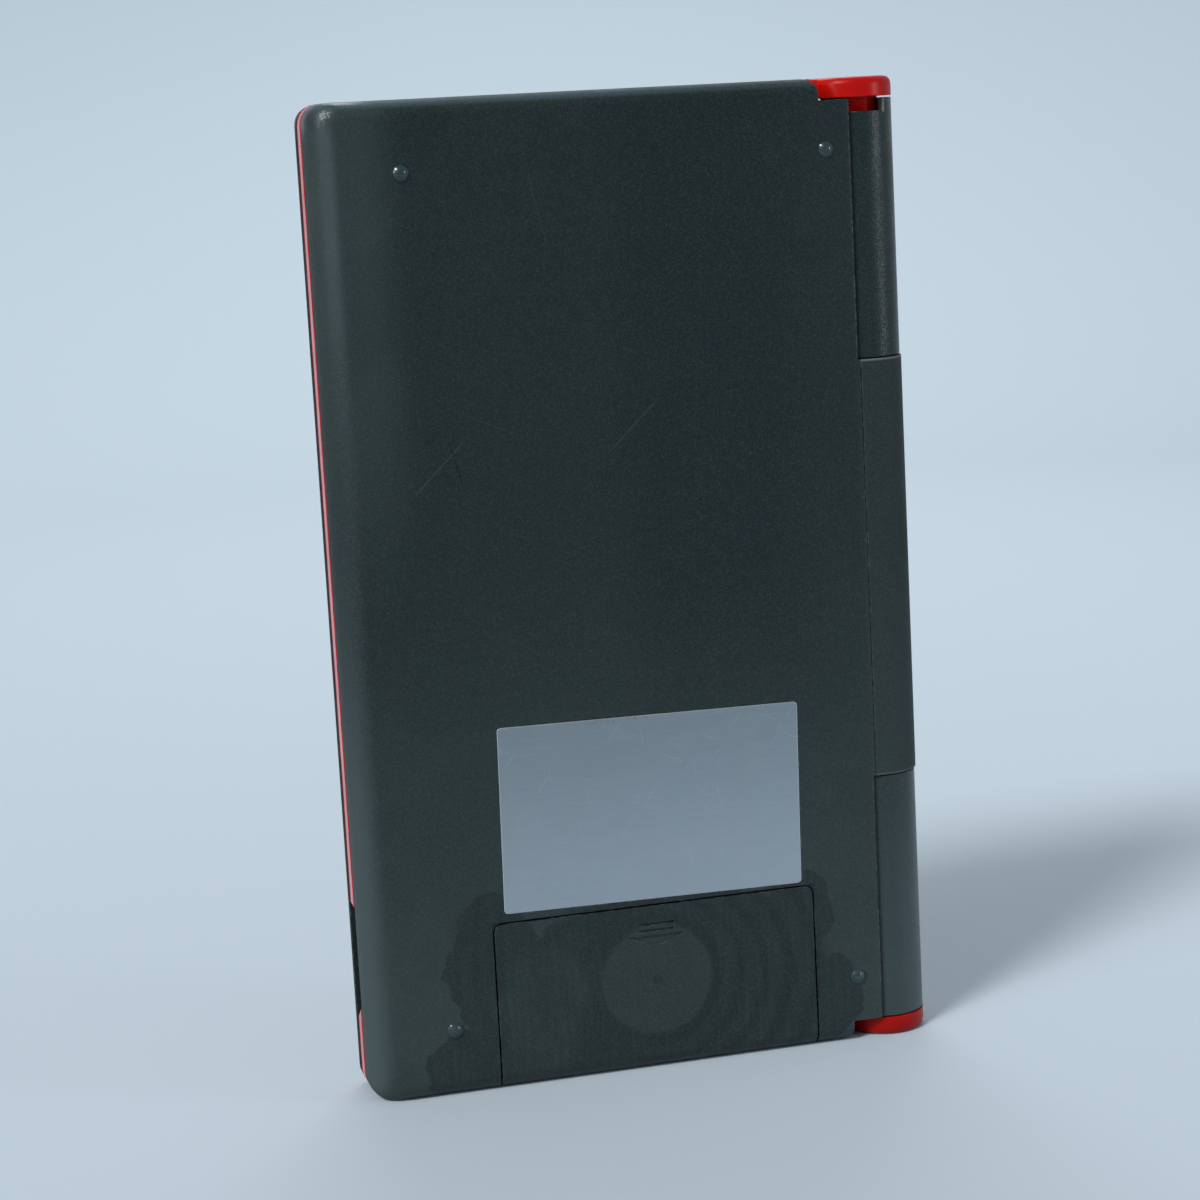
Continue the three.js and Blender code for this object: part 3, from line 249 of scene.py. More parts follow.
SCRATCH_LAYERS = ((24.0, 3.1), (-51.0, 17.7), (78.0, 41.3))
SCRATCH_SPACING = 0.35
SCRATCH_BEND = 0.25
SCRATCH_ENDS = (0.42, 0.1)


def make_scratches():
    """Sparse fine scratches in three directions: a mask, stronger where the scratch is deeper."""
    group, given, out = effect("fine_scratches", [
        ("Place", "Vector", None), ("Length", "Float", 12.0), ("Width", "Float", 0.12),
        ("Share", "Float", 0.2),
    ], [("Mask", "Float")])
    spacing = math_of(group, "MULTIPLY", given["Length"], SCRATCH_SPACING)
    total = None
    for turn, shift in SCRATCH_LAYERS:
        turned = add(group, "VectorRotate", {
            "Vector": given["Place"], "Angle": math.radians(turn), "Axis": (0.0, 1.0, 0.0),
        })
        moved = add(group, "VectorMath", {0: turned.outputs[0], 1: (shift, 0.0, shift)}, operation="ADD")
        x, _, z = axes_of(group, moved.outputs[0])
        along = math_of(group, "DIVIDE", x, given["Length"])
        across = math_of(group, "DIVIDE", z, spacing)
        cell = add(group, "CombineXYZ", {0: along, 1: across, 2: 0.0})
        spots = add(group, "TexVoronoi", {"Vector": cell.outputs[0], "Scale": 1.0, "Randomness": 1.0},
                    voronoi_dimensions="2D")
        offset = add(group, "VectorMath", {0: cell.outputs[0], 1: spots.outputs["Position"]},
                     operation="SUBTRACT")
        run, rise, _ = axes_of(group, offset.outputs[0])
        from_centre = math_of(group, "ABSOLUTE", run)
        bend = math_of(group, "MULTIPLY", math_of(group, "POWER", from_centre, 2.0), SCRATCH_BEND)
        narrow = math_of(group, "MULTIPLY", away_from(group, rise, bend), spacing)
        line = between(group, narrow, given["Width"], 0.0)
        chosen = add(group, "SeparateColor", {0: spots.outputs["Color"]})
        keep = math_of(group, "LESS_THAN", chosen.outputs[0], given["Share"])
        fade = math_of(group, "MULTIPLY", keep, chosen.outputs[1])
        mark = math_of(group, "MULTIPLY", zone(group, line, (from_centre, SCRATCH_ENDS)), fade)
        total = mark if total is None else math_of(group, "MAXIMUM", total, mark)
    group.links.new(total, out.inputs["Mask"])
    return group


FILM_EDGES = (0.35, 0.68)


def make_smudges():
    """Film left by hands: broad soft patches that change the gloss."""
    group, given, out = effect("handled_film", [
        ("Place", "Vector", None), ("Patch Size", "Float", 18.0),
    ], [("Mask", "Float")])
    scale = math_of(group, "DIVIDE", 1.0, given["Patch Size"])
    patches = add(group, "TexNoise", {
        "Vector": given["Place"], "Scale": scale, "Detail": 4.0, "Roughness": 0.62, "Distortion": 0.6,
    })
    group.links.new(between(group, patches.outputs[0], *FILM_EDGES), out.inputs["Mask"])
    return group


fine_grain = make_grain()
rubbed_rim = make_rim()
fine_scratches = make_scratches()
handled_film = make_smudges()

RED = (0.50, 0.004, 0.001, 1.0)
RED_DEEP = (0.40, 0.003, 0.001, 1.0)
RED_SHADED_LOW = (0.27, 0.003, 0.001, 1.0)
RED_RUBBED = (0.74, 0.12, 0.10, 1.0)
RED_PAINTED_SHADOW = (0.035, 0.004, 0.004, 1.0)
MIDDLE_HEIGHT = 85.0
SHADED_END_Z = (4.5, 1.5)
SIDE_WALL_X = (45.0, 47.0)
LID_SHADOW_Y = (-3.7, -4.5)
POLISH_FRONT_Y = (-4.0, -3.0)
POLISH_BACK_Y = (-1.2, -2.2)
STUB_SIDE_X = -38.0
STUB_ENDS = (75.4, 81.5)
STUB_RINGS = 14.0
STUB_RING_DEPTH = 5e-5
RED_GLOSS = (0.28, 0.4)

red_plastic, tree, shader = finish("moulded_red_plastic", Specular_IOR_Level=0.14, Coat_Roughness=0.15)
place = place_of(tree)
x, y, z = axes_of(tree, place)
rim = use(tree, rubbed_rim, Place=place, Width=0.25, Breakup_Size=1.6, Amount=0.42)
grain = use(tree, fine_grain, Place=place, Grain_Size=0.7, Depth=0.006, Normal=rim["Normal"])
film = use(tree, handled_film, Place=place, Patch_Size=6.0)["Mask"]
marks = use(tree, fine_scratches, Place=place, Length=5.0, Width=0.08, Share=0.25)["Mask"]
# Painted shadow: the red side wall's strip next to the lid is tinted near black as the shade of the lid's
# gap, and made rougher.
lid_shadow_strip = zone(tree, 1.0, (x, SIDE_WALL_X), (y, LID_SHADOW_Y))
colour = tint(tree, film, RED, RED_DEEP)
# Painted shade: the frame's lower end is tinted darker red.
colour = tint(tree, zone(tree, 0.8, (z, SHADED_END_Z)), colour, RED_SHADED_LOW)
colour = tint_by(tree, rim["Mask"], 0.55, colour, RED_RUBBED)
colour = tint(tree, lid_shadow_strip, colour, RED_PAINTED_SHADOW)
gloss = worn_gloss(tree, film, *RED_GLOSS, marks, 0.3)
gloss = math_of(tree, "ADD", gloss, math_of(tree, "MULTIPLY", lid_shadow_strip, 0.5))
from_middle = away_from(tree, z, MIDDLE_HEIGHT)
on_stub = math_of(tree, "MULTIPLY", math_of(tree, "GREATER_THAN", from_middle, STUB_ENDS[0]),
                  math_of(tree, "LESS_THAN", from_middle, STUB_ENDS[1]))
on_stub = math_of(tree, "MULTIPLY", on_stub, math_of(tree, "LESS_THAN", x, STUB_SIDE_X))
wave = math_of(tree, "SINE", math_of(tree, "MULTIPLY", z, STUB_RINGS))
rings = add(tree, "Bump", {
    "Strength": 1.0, "Distance": STUB_RING_DEPTH, "Height": math_of(tree, "MULTIPLY", wave, on_stub),
    "Normal": grain["Normal"],
})
polish = zone(tree, 1.0, (x, SIDE_WALL_X), (y, POLISH_FRONT_Y), (y, POLISH_BACK_Y))
feed(tree, shader, Base_Color=colour, Roughness=gloss, Normal=rings.outputs[0], Coat_Weight=polish)
coat(["mid_frame"], red_plastic)

# Rear cover and battery door
# Both are moulded in dark plastic and sprayed with satin grey-green paint that holds very fine metal flake.
# The cover clips into the frame, and two tongues hold the door, which slides out downwards. Something has
# dried in rings on the door and round it, and the paint is rubbed pale at the barrel's ends.


def make_flake():
    """Metal flake in paint: a value for each flake, and a normal tilted a little by each."""
    group, given, out = effect("metal_flake", [
        ("Place", "Vector", None), ("Flake Size", "Float", 0.14), ("Tilt", "Float", 0.2),
        ("Normal", "Vector", None),
    ], [("Normal", "Vector"), ("Value", "Float")])
    scale = math_of(group, "DIVIDE", 1.0, given["Flake Size"])
    cells = add(group, "TexVoronoi", {"Vector": given["Place"], "Scale": scale, "Randomness": 1.0})
    centred = add(group, "VectorMath", {0: cells.outputs["Color"], 1: (0.5, 0.5, 0.5)}, operation="SUBTRACT")
    tilted = add(group, "VectorMath", {0: centred.outputs[0], "Scale": given["Tilt"]}, operation="SCALE")
    summed = add(group, "VectorMath", {0: tilted.outputs[0], 1: given["Normal"]}, operation="ADD")
    unit = add(group, "VectorMath", {0: summed.outputs[0]}, operation="NORMALIZE")
    value = add(group, "SeparateColor", {0: cells.outputs["Color"]})
    group.links.new(unit.outputs[0], out.inputs["Normal"])
    group.links.new(value.outputs[2], out.inputs["Value"])
    return group


def near(tree, point, centre, reach):
    """Distance of a point of x and z from the centre of an upright ellipse, where 1 is on its edge."""
    squares = []
    for value, middle, half in zip(point, centre, reach):
        share = math_of(tree, "DIVIDE", away_from(tree, value, middle), half)
        squares.append(math_of(tree, "POWER", share, 2.0))
    return math_of(tree, "SQRT", math_of(tree, "ADD", *squares))


STAIN_CENTRE = (0.3, 16.3)

# Each lobe has its centre and its reach in x and z, and each ring its centre, radius, width and strength
STAIN_LOBES = (
    ((0.0, 12.0), (34.0, 20.5)), ((29.5, 23.0), (7.8, 13.0)), ((34.0, 4.5), (8.2, 7.0)),
    ((-26.5, 26.0), (5.6, 7.5)), ((-29.0, 8.5), (8.6, 10.0)),
)
STAIN_RINGS = (
    (STAIN_CENTRE, 5.6, 1.6, 0.2), (STAIN_CENTRE, 11.2, 1.6, 0.65), ((-0.4, 16.0), 14.8, 1.5, 0.35),
    ((-1.2, 15.8), 18.2, 1.6, 0.45), ((-2.0, 15.6), 22.0, 1.8, 0.45), ((-3.0, 15.2), 26.0, 1.6, 0.4),
)
STAIN_RINGS_X = (9.0, -9.0)
STAIN_DISC = (9.8, 9.8)
STAIN_SPOT = (1.3, 1.3)
STAIN_THIN = ((20.8, 13.5), (8.4, 13.0))
STAIN_STREAKS = (1.1, 1.0, 0.08)
STAIN_SWAY = 7.0
STAIN_RING_SWAY = 1.6


def make_stain():
    """Liquid dried on the door and round it: a dark spread with lobes, rings, and a clean disc in it."""
    group, given, out = effect("dried_stain", [
        ("Place", "Vector", None),
    ], [("Spread", "Float"), ("Rings", "Float"), ("Disc", "Float")])
    warp = add(group, "TexNoise", {"Vector": given["Place"], "Scale": 0.16, "Detail": 3.0, "Roughness": 0.5})
    shift = add(group, "VectorMath", {0: warp.outputs["Color"], 1: (0.5, 0.5, 0.5)}, operation="SUBTRACT")

    def swayed(sway):
        moved = add(group, "VectorMath", {0: shift.outputs[0], "Scale": sway}, operation="SCALE")
        place = add(group, "VectorMath", {0: given["Place"], 1: moved.outputs[0]}, operation="ADD")
        x, _, z = axes_of(group, place.outputs[0])
        return x, z

    x, _, z = axes_of(group, given["Place"])
    bent = swayed(STAIN_SWAY)
    eased = swayed(STAIN_RING_SWAY)
    spread = None
    for centre, reach in STAIN_LOBES:
        lobe = between(group, near(group, bent, centre, reach), 1.05, 0.95)
        spread = lobe if spread is None else math_of(group, "MAXIMUM", spread, lobe)
    thin = between(group, near(group, bent, *STAIN_THIN), 1.1, 0.7, 0.0, 0.4)
    upright = add(group, "Mapping", {"Vector": given["Place"], "Scale": STAIN_STREAKS}).outputs[0]
    streaks = clouds(group, upright, 1.0, 4.0, 0.6)
    thin = math_of(group, "ADD", thin, between(group, streaks, 0.4, 0.7, 0.0, 0.35))
    spread = math_of(group, "SUBTRACT", spread, thin, clamp=True)
    rings = None
    for centre, radius, width, weight in STAIN_RINGS:
        from_ring = away_from(group, near(group, eased, centre, (radius, radius)), 1.0)
        ring = between(group, from_ring, width / radius, 0.0, 0.0, weight)
        rings = ring if rings is None else math_of(group, "ADD", rings, ring)
    rings = math_of(group, "MULTIPLY", rings, between(group, x, *STAIN_RINGS_X, 0.25, 1.0))
    disc = between(group, near(group, eased, STAIN_CENTRE, STAIN_DISC), 1.04, 0.96)
    spot = between(group, near(group, (x, z), STAIN_CENTRE, STAIN_SPOT), 1.0, 0.4)
    group.links.new(spread, out.inputs["Spread"])
    group.links.new(rings, out.inputs["Rings"])
    group.links.new(math_of(group, "SUBTRACT", disc, spot, clamp=True), out.inputs["Disc"])
    return group


metal_flake = make_flake()
dried_stain = make_stain()

PAINT = (0.0094, 0.0180, 0.0180, 1.0)
PAINT_LIT = (0.031, 0.046, 0.0455, 1.0)
PAINT_SHADED = (0.0045, 0.0120, 0.0135, 1.0)
PAINT_HIGHLIGHT = (0.064, 0.090, 0.098, 1.0)
PAINT_FLAKE = (0.12, 0.155, 0.16, 1.0)
PAINT_RUBBED = (0.22, 0.24, 0.24, 1.0)
PAINT_GLOSS = (0.36, 0.44)
SPARKLE_EDGES = (0.55, 1.0)
LIT_BAND_X = (35.0, 44.0)
LIT_BAND_Z = (60.0, 165.0)
LIT_LOW_FIELD_Z = (105.0, 8.0)
STRIP_X = -15.0
STRIP_FADE = (24.0, 8.0)
STRIP_Z = (50.0, 90.0)
LOW_EDGE_X = (47.2, 51.0)
LOW_EDGE_Z = (112.0, 40.0)
RIDGE_X = 48.9
RIDGE_FADE = (1.9, 0.4)
RIDGE_Z = (110.0, 150.0)
FREE_ROUNDING_X = (46.5, 50.5)
FREE_ROUNDING_Z = (167.0, 162.0)
TOP_ROUNDING_X = (46.0, 40.0)
TOP_ROUNDING_Z = (167.6, 169.6)


def satin_paint(name, rim_amount, own_marks):
    """The housing's sprayed paint, with painted highlights, reflections and shade in its colour; own_marks
    adds what only one side shows to colour, gloss and the pale rubbed places.
    """
    material, tree, shader = finish(name, Specular_IOR_Level=0.24, Coat_Roughness=0.12)
    place = place_of(tree)
    x, _, z = axes_of(tree, place)
    rim = use(tree, rubbed_rim, Place=place, Width=0.25, Breakup_Size=1.1, Amount=rim_amount)
    grain = use(tree, fine_grain, Place=place, Grain_Size=0.42, Depth=0.012, Normal=rim["Normal"])
    flake = use(tree, metal_flake, Place=place, Flake_Size=0.15, Tilt=0.16, Normal=grain["Normal"])
    film = use(tree, handled_film, Place=place, Patch_Size=22.0)["Mask"]
    marks = use(tree, fine_scratches, Place=place, Length=24.0, Width=0.10, Share=0.05)["Mask"]
    sparkle = between(tree, flake["Value"], *SPARKLE_EDGES)

    # Painted highlight and reflection: a pale band along the free side and a paler lower field, broken up by
    # the handled film.
    lit_areas = zone(tree, 1.0, (x, LIT_BAND_X), (z, LIT_BAND_Z))
    lit_areas = math_of(tree, "MAXIMUM", lit_areas, zone(tree, 0.9, (z, LIT_LOW_FIELD_Z)))
    painted_light = math_of(tree, "MULTIPLY", lit_areas, between(tree, film, 0.0, 1.0, 0.75, 1.0))
    colour = tint(tree, painted_light, PAINT, PAINT_LIT)
    # Painted shade: a wide strip of the back towards the hinge side is darkened, except low down.
    shaded_strip = zone(tree, 0.6, (away_from(tree, x, STRIP_X), STRIP_FADE), (z, STRIP_Z))
    colour = tint(tree, shaded_strip, colour, PAINT_SHADED)
    # Painted reflection and highlight: the free edge's rounding is paler low down and along a ridge higher
    # up.
    low_edge_reflection = zone(tree, 0.55, (x, LOW_EDGE_X), (z, LOW_EDGE_Z))
    ridge_highlight = zone(tree, 0.32, (away_from(tree, x, RIDGE_X), RIDGE_FADE), (z, RIDGE_Z))
    colour = tint(tree, math_of(tree, "MAXIMUM", low_edge_reflection, ridge_highlight), colour, PAINT_HIGHLIGHT)
    dull = math_of(tree, "MAXIMUM", zone(tree, 0.42, (x, FREE_ROUNDING_X), (z, FREE_ROUNDING_Z)),
                   zone(tree, 0.25, (z, TOP_ROUNDING_Z), (x, TOP_ROUNDING_X)))
    gloss = math_of(tree, "ADD", worn_gloss(tree, film, *PAINT_GLOSS), dull)
    rub_and_highlight = math_of(tree, "MULTIPLY", rim["Mask"], 0.6)
    colour, gloss, rub_and_highlight = own_marks(tree, shader, place, colour, gloss, rub_and_highlight)

    colour = tint_by(tree, sparkle, 0.2, colour, PAINT_FLAKE)
    colour = tint_by(tree, marks, 0.10, colour, PAINT_RUBBED)
    colour = tint(tree, rub_and_highlight, colour, PAINT_RUBBED)
    feed(tree, shader, Base_Color=colour, Roughness=gloss, Metallic=math_of(tree, "MULTIPLY", sparkle, 0.3),
         Normal=flake["Normal"])
    return material


PAINT_TOP_REFLECTION = (0.050, 0.100, 0.125, 1.0)
PAINT_STAINED = (0.010, 0.017, 0.017, 1.0)
PAINT_CLEANED = (0.026, 0.038, 0.038, 1.0)
PAINT_SHADOW = (0.004, 0.007, 0.008, 1.0)
PAINT_SCORED = (0.001, 0.002, 0.003, 1.0)
PAINT_FOOT = (0.008, 0.034, 0.036, 1.0)
TOP_REFLECTION_Z = (168.4, 169.3)
TOP_REFLECTION_X = (-30.0, 0.0)
CORNER_X = (40.0, 46.0)
CORNER_Z = (164.5, 167.0)
BARREL_X = (-40.0, -42.0)
BARREL_DULL_X = (-40.5, -42.5)
KNUCKLE_RIM = 36.85
KNUCKLE_RIM_FADE = (0.45, 0.15)
KNUCKLE_X = (-41.4, -42.0)
KNUCKLE_HALVES_Z = (80.0, 90.0)
DOOR_HALF_WIDTH = 29.05
DOOR_TOP = 29.75
DOOR_SEAM_FADE = (0.34, 0.16)
FOOT_X = 36.85
FOOT_HEIGHTS = (11.9, 158.1)
FOOT_REACH = (1.4, 1.4)
FOOT_SHADE_SHIFT = 0.22
FOOT_SHADE_REACH = 0.95
FOOT_SHADE_FADE = (0.28, 0.0)
FOOT_EDGE = (1.0, 0.9)
SCRATCH_WIDTH = 0.22

# Each scratch has its two ends in x and z, its colour and its strength
LONG_SCRATCHES = (
    ((38.8, 103.9), (27.9, 114.3), PAINT_RUBBED, 0.10), ((31.8, 114.6), (29.2, 104.3), PAINT_SCORED, 0.9),
    ((4.8, 108.7), (-6.4, 119.2), PAINT_RUBBED, 0.09),
)


def near_feet(tree, point, shift=0.0):
    """Distance to the nearest foot's centre, where 1 is on its foot line; shifted down towards the hinge."""
    nearest = None
    for x in (-FOOT_X, FOOT_X):
        for z in FOOT_HEIGHTS:
            away = near(tree, point, (x - shift, z - shift), FOOT_REACH)
            nearest = away if nearest is None else math_of(tree, "MINIMUM", nearest, away)
    return nearest


def near_line(tree, point, start, end, width):
    """A mask of a straight scratch between two points of x and z, thinner towards its ends."""
    run, rise = end[0] - start[0], end[1] - start[1]
    length = math.hypot(run, rise)
    dx = math_of(tree, "SUBTRACT", point[0], (start[0] + end[0]) / 2)
    dz = math_of(tree, "SUBTRACT", point[1], (start[1] + end[1]) / 2)
    along = math_of(tree, "ADD", math_of(tree, "MULTIPLY", dx, run / length),
                    math_of(tree, "MULTIPLY", dz, rise / length))
    across = math_of(tree, "SUBTRACT", math_of(tree, "MULTIPLY", dz, run / length),
                     math_of(tree, "MULTIPLY", dx, rise / length))
    from_line = math_of(tree, "ABSOLUTE", across)
    from_centre = math_of(tree, "ABSOLUTE", along)
    return zone(tree, 1.0, (from_line, (width, 0.0)), (from_centre, (length / 2, length / 4)))


def rear_marks(tree, shader, place, colour, gloss, rub_and_highlight):
    """The rear's top edge with a painted reflection, its barrel painted a little paler, rubbed barrel ends,
    dried stain, painted shade by the door joint and by the glossy feet, and single scratches.
    """
    x, _, z = axes_of(tree, place)
    # Painted reflection: the top edge's rounding is tinted pale blue, more towards the free side.
    top_reflection_share = between(tree, x, *TOP_REFLECTION_X, 0.5, 1.0)
    colour = tint_by(tree, zone(tree, top_reflection_share, (z, TOP_REFLECTION_Z)), 0.45, colour, PAINT_TOP_REFLECTION)
    gloss = math_of(tree, "ADD", gloss, zone(tree, 0.3, (x, BARREL_DULL_X)))
    gloss = math_of(tree, "SUBTRACT", gloss, zone(tree, 0.07, (x, CORNER_X), (z, CORNER_Z)))

    stain = use(tree, dried_stain, Place=place)
    rings = math_of(tree, "MULTIPLY", stain["Rings"], stain["Spread"])
    dark = math_of(tree, "MULTIPLY", math_of(tree, "ADD", stain["Spread"], rings), 0.8, clamp=True)
    colour = tint(tree, dark, colour, PAINT_STAINED)
    colour = tint_by(tree, stain["Disc"], 0.7, colour, PAINT_CLEANED)
    gloss = math_of(tree, "SUBTRACT", gloss, math_of(tree, "MULTIPLY", dark, 0.06))

    from_rim = away_from(tree, away_from(tree, z, MIDDLE_HEIGHT), KNUCKLE_RIM)
    halves = between(tree, z, *KNUCKLE_HALVES_Z, 0.22, 0.5)
    worn_end = zone(tree, halves, (from_rim, KNUCKLE_RIM_FADE), (x, KNUCKLE_X))
    rub_and_highlight = math_of(tree, "MAXIMUM", rub_and_highlight, worn_end)
    # Painted light: the barrel is tinted slightly paler.
    colour = tint(tree, zone(tree, 0.07, (x, BARREL_X)), colour, PAINT_HIGHLIGHT)

    # Painted shade: the paint on both sides of the door's joint is darkened.
    beside = math_of(tree, "SUBTRACT", math_of(tree, "ABSOLUTE", x), DOOR_HALF_WIDTH)
    from_door = math_of(tree, "MAXIMUM", beside, math_of(tree, "SUBTRACT", z, DOOR_TOP))
    seam = zone(tree, 0.9, (math_of(tree, "ABSOLUTE", from_door), DOOR_SEAM_FADE))
    colour = tint(tree, seam, colour, PAINT_SHADOW)

    # Painted shade: a dark crescent beside each foot, shifted down towards the hinge.
    from_shade = away_from(tree, near_feet(tree, (x, z), FOOT_SHADE_SHIFT), FOOT_SHADE_REACH)
    colour = tint(tree, zone(tree, 0.8, (from_shade, FOOT_SHADE_FADE)), colour, PAINT_SHADOW)
    to_foot = near_feet(tree, (x, z))
    on_foot = zone(tree, 0.7, (to_foot, FOOT_EDGE))
    feed(tree, shader, Coat_Weight=on_foot)
    colour = tint(tree, on_foot, colour, PAINT_FOOT)
    rub_and_highlight = math_of(tree, "MULTIPLY", rub_and_highlight, between(tree, to_foot, 1.0, 1.2, 0.15, 1.0))

    for start, end, tone, strength in LONG_SCRATCHES:
        colour = tint_by(tree, near_line(tree, (x, z), start, end, SCRATCH_WIDTH), strength, colour, tone)
    return colour, gloss, rub_and_highlight


coat(["rear_cover", "battery_door"], satin_paint("satin_paint_rear", 0.44, rear_marks))

# Label plate
# The real plate is thin silver foil with a sticky back, cut with small round corners and laid in a shallow
# seat, a little askew. It is bare, with fine rolling lines, rubbed rims, scratches and brown spots.
FOIL = (0.215, 0.258, 0.295, 1.0)
FOIL_LIGHT = (0.405, 0.465, 0.52, 1.0)
FOIL_SPOT = (0.16, 0.10, 0.06, 1.0)
FOIL_SCUFF = (0.62, 0.66, 0.72, 1.0)
FOIL_CHAFED = (0.22, 0.12, 0.045, 1.0)
FOIL_ROLLING = (0.12, 1.0, 9.0)
FOIL_LINE_DEPTH = 2e-5
FOIL_GLOSS = (0.38, 0.5)
FOIL_REFLECTION_Z = (66.0, 30.0)
CHAFED_Z = (62.6, 63.2)
CHAFED_X = 4.5
CHAFED_FADE = (8.0, 3.0)
CHAFED_PATCHES = (0.46, 0.64)
RUST_PATCHES = (0.66, 0.74)

foil, tree, shader = finish("rolled_silver_foil", Metallic=0.75, Specular_IOR_Level=0.5)
place = place_of(tree)
x, _, z = axes_of(tree, place)
rim = use(tree, rubbed_rim, Place=place, Width=0.3, Breakup_Size=1.4, Amount=0.7)
stretched = add(tree, "Mapping", {"Vector": place, "Scale": FOIL_ROLLING}).outputs[0]
rolled = clouds(tree, stretched, 1.0, 5.0, 0.6)
bump = add(tree, "Bump", {
    "Strength": 0.25, "Distance": FOIL_LINE_DEPTH, "Height": rolled, "Normal": rim["Normal"],
})
marks = use(tree, fine_scratches, Place=place, Length=7.0, Width=0.08, Share=0.35)["Mask"]
film = use(tree, handled_film, Place=place, Patch_Size=7.0)["Mask"]
rust = clouds(tree, place, 0.35, 8.0, 0.75)
crumbs = clouds(tree, place, 1.6, 6.0, 0.7)
# Painted reflection: the foil is tinted paler towards its bottom.
tone = math_of(tree, "ADD", rolled, zone(tree, 1.2, (z, FOIL_REFLECTION_Z)))
colour = tint_by(tree, tone, 0.5, FOIL, FOIL_LIGHT)
colour = tint(tree, zone(tree, 0.5, (rust, RUST_PATCHES)), colour, FOIL_SPOT)
from_chafed = away_from(tree, x, CHAFED_X)
chafed = zone(tree, 0.5, (z, CHAFED_Z), (from_chafed, CHAFED_FADE), (crumbs, CHAFED_PATCHES))
colour = tint(tree, chafed, colour, FOIL_CHAFED)
colour = tint_by(tree, marks, 0.4, colour, FOIL_SCUFF)
colour = tint(tree, rim["Mask"], colour, FOIL_SCUFF)
gloss = worn_gloss(tree, film, *FOIL_GLOSS, marks, 0.15)
feed(tree, shader, Base_Color=colour, Roughness=gloss, Normal=bump.outputs[0])
coat(["label"], foil)

# Lid and its liner
# The real lid is one moulding with its two hinge barrels, sprayed with the same satin paint as the back.
# A thinner dark liner with a fine spark-eroded texture is bonded inside it.
LOW_BARREL_Z = (62.0, 15.0)
LOW_BARREL_X = (-44.0, -48.5)
LID_RIM_X = (49.0, 49.8)
CAP_WALL_X = -48.05
CAP_WALL_FADE = (0.3, 0.1)
CAP_WALL_Z = (163.6, 164.2)


def lid_marks(tree, _, place, colour, gloss, rub_and_highlight):
    """The lid's glossy barrels, the lower one with a painted highlight, its free rim in painted shade, and
    the wall by the top ear made pale as painted highlight and rubbed paint.
    """
    axes = axes_of(tree, place)
    x, z = axes[0], axes[2]
    gloss = math_of(tree, "SUBTRACT", gloss, zone(tree, 0.06, (x, BARREL_X)))
    # Painted highlight: the lower barrel is tinted paler towards its outer side.
    round_barrel = between(tree, x, *LOW_BARREL_X, 0.3, 1.0)
    barrel_highlight = zone(tree, round_barrel, (z, LOW_BARREL_Z), (x, BARREL_X))
    colour = tint_by(tree, barrel_highlight, 0.68, colour, PAINT_HIGHLIGHT)
    # Painted shade: the lid's free rim is darkened.
    colour = tint(tree, zone(tree, 0.95, (x, LID_RIM_X)), colour, PAINT_SHADOW)
    # Painted highlight together with rubbed paint: the wall by the top ear is given the pale rubbed colour.
    wall = zone(tree, 1.0, (away_from(tree, x, CAP_WALL_X), CAP_WALL_FADE), (z, CAP_WALL_Z))
    return colour, gloss, math_of(tree, "MAXIMUM", rub_and_highlight, wall)


coat(["lid_shell"], satin_paint("satin_paint_lid", 0.46, lid_marks))

LINER = (0.020, 0.024, 0.026, 1.0)
LINER_LIGHT = (0.027, 0.032, 0.034, 1.0)
RUBBED_LIFT = 1.8
HANDLED_POLISH = 0.1


def moulded_plastic(name, base, light, grain_size, roughness):
    """Matt moulded plastic: eroded texture, slight changes of tone, rims polished by use."""
    material, tree, shader = finish(name, Specular_IOR_Level=0.5)
    place = place_of(tree)
    rim = use(tree, rubbed_rim, Place=place, Width=0.18, Breakup_Size=1.8, Amount=0.5)
    grain = use(tree, fine_grain, Place=place, Grain_Size=grain_size, Depth=0.03, Normal=rim["Normal"])
    film = use(tree, handled_film, Place=place, Patch_Size=9.0)["Mask"]
    marks = use(tree, fine_scratches, Place=place, Length=8.0, Width=0.07, Share=0.12)["Mask"]
    rubbed = tuple(min(1.0, part * RUBBED_LIFT) for part in light[:3]) + (1.0,)
    colour = tint_by(tree, math_of(tree, "ADD", film, grain["Value"]), 0.5, base, light)
    colour = tint_by(tree, math_of(tree, "MAXIMUM", rim["Mask"], marks), 0.4, colour, rubbed)
    gloss = worn_gloss(tree, film, roughness, roughness - HANDLED_POLISH)
    feed(tree, shader, Base_Color=colour, Roughness=gloss, Normal=grain["Normal"])
    return material


coat(["lid_liner"], moulded_plastic("eroded_liner_plastic", LINER, LINER_LIGHT, 0.35, 0.62))

# Hinge pin, screws and battery cells
# The pin is a drawn steel rod through all three barrels, the screws are zinc plated, and each cell is a
# nickel-plated can crimped over its cap. The plating is slightly uneven, with fine turning or drawing lines.
STEEL = (0.56, 0.57, 0.58, 1.0)
STEEL_DULL = (0.34, 0.35, 0.37, 1.0)
METAL_LINE_DEPTH = 2e-5
WIRE_LINES = (6.0, 6.0, 0.6)
CAN_LINES = (9.0, 9.0, 0.7)
TARNISH = 0.18


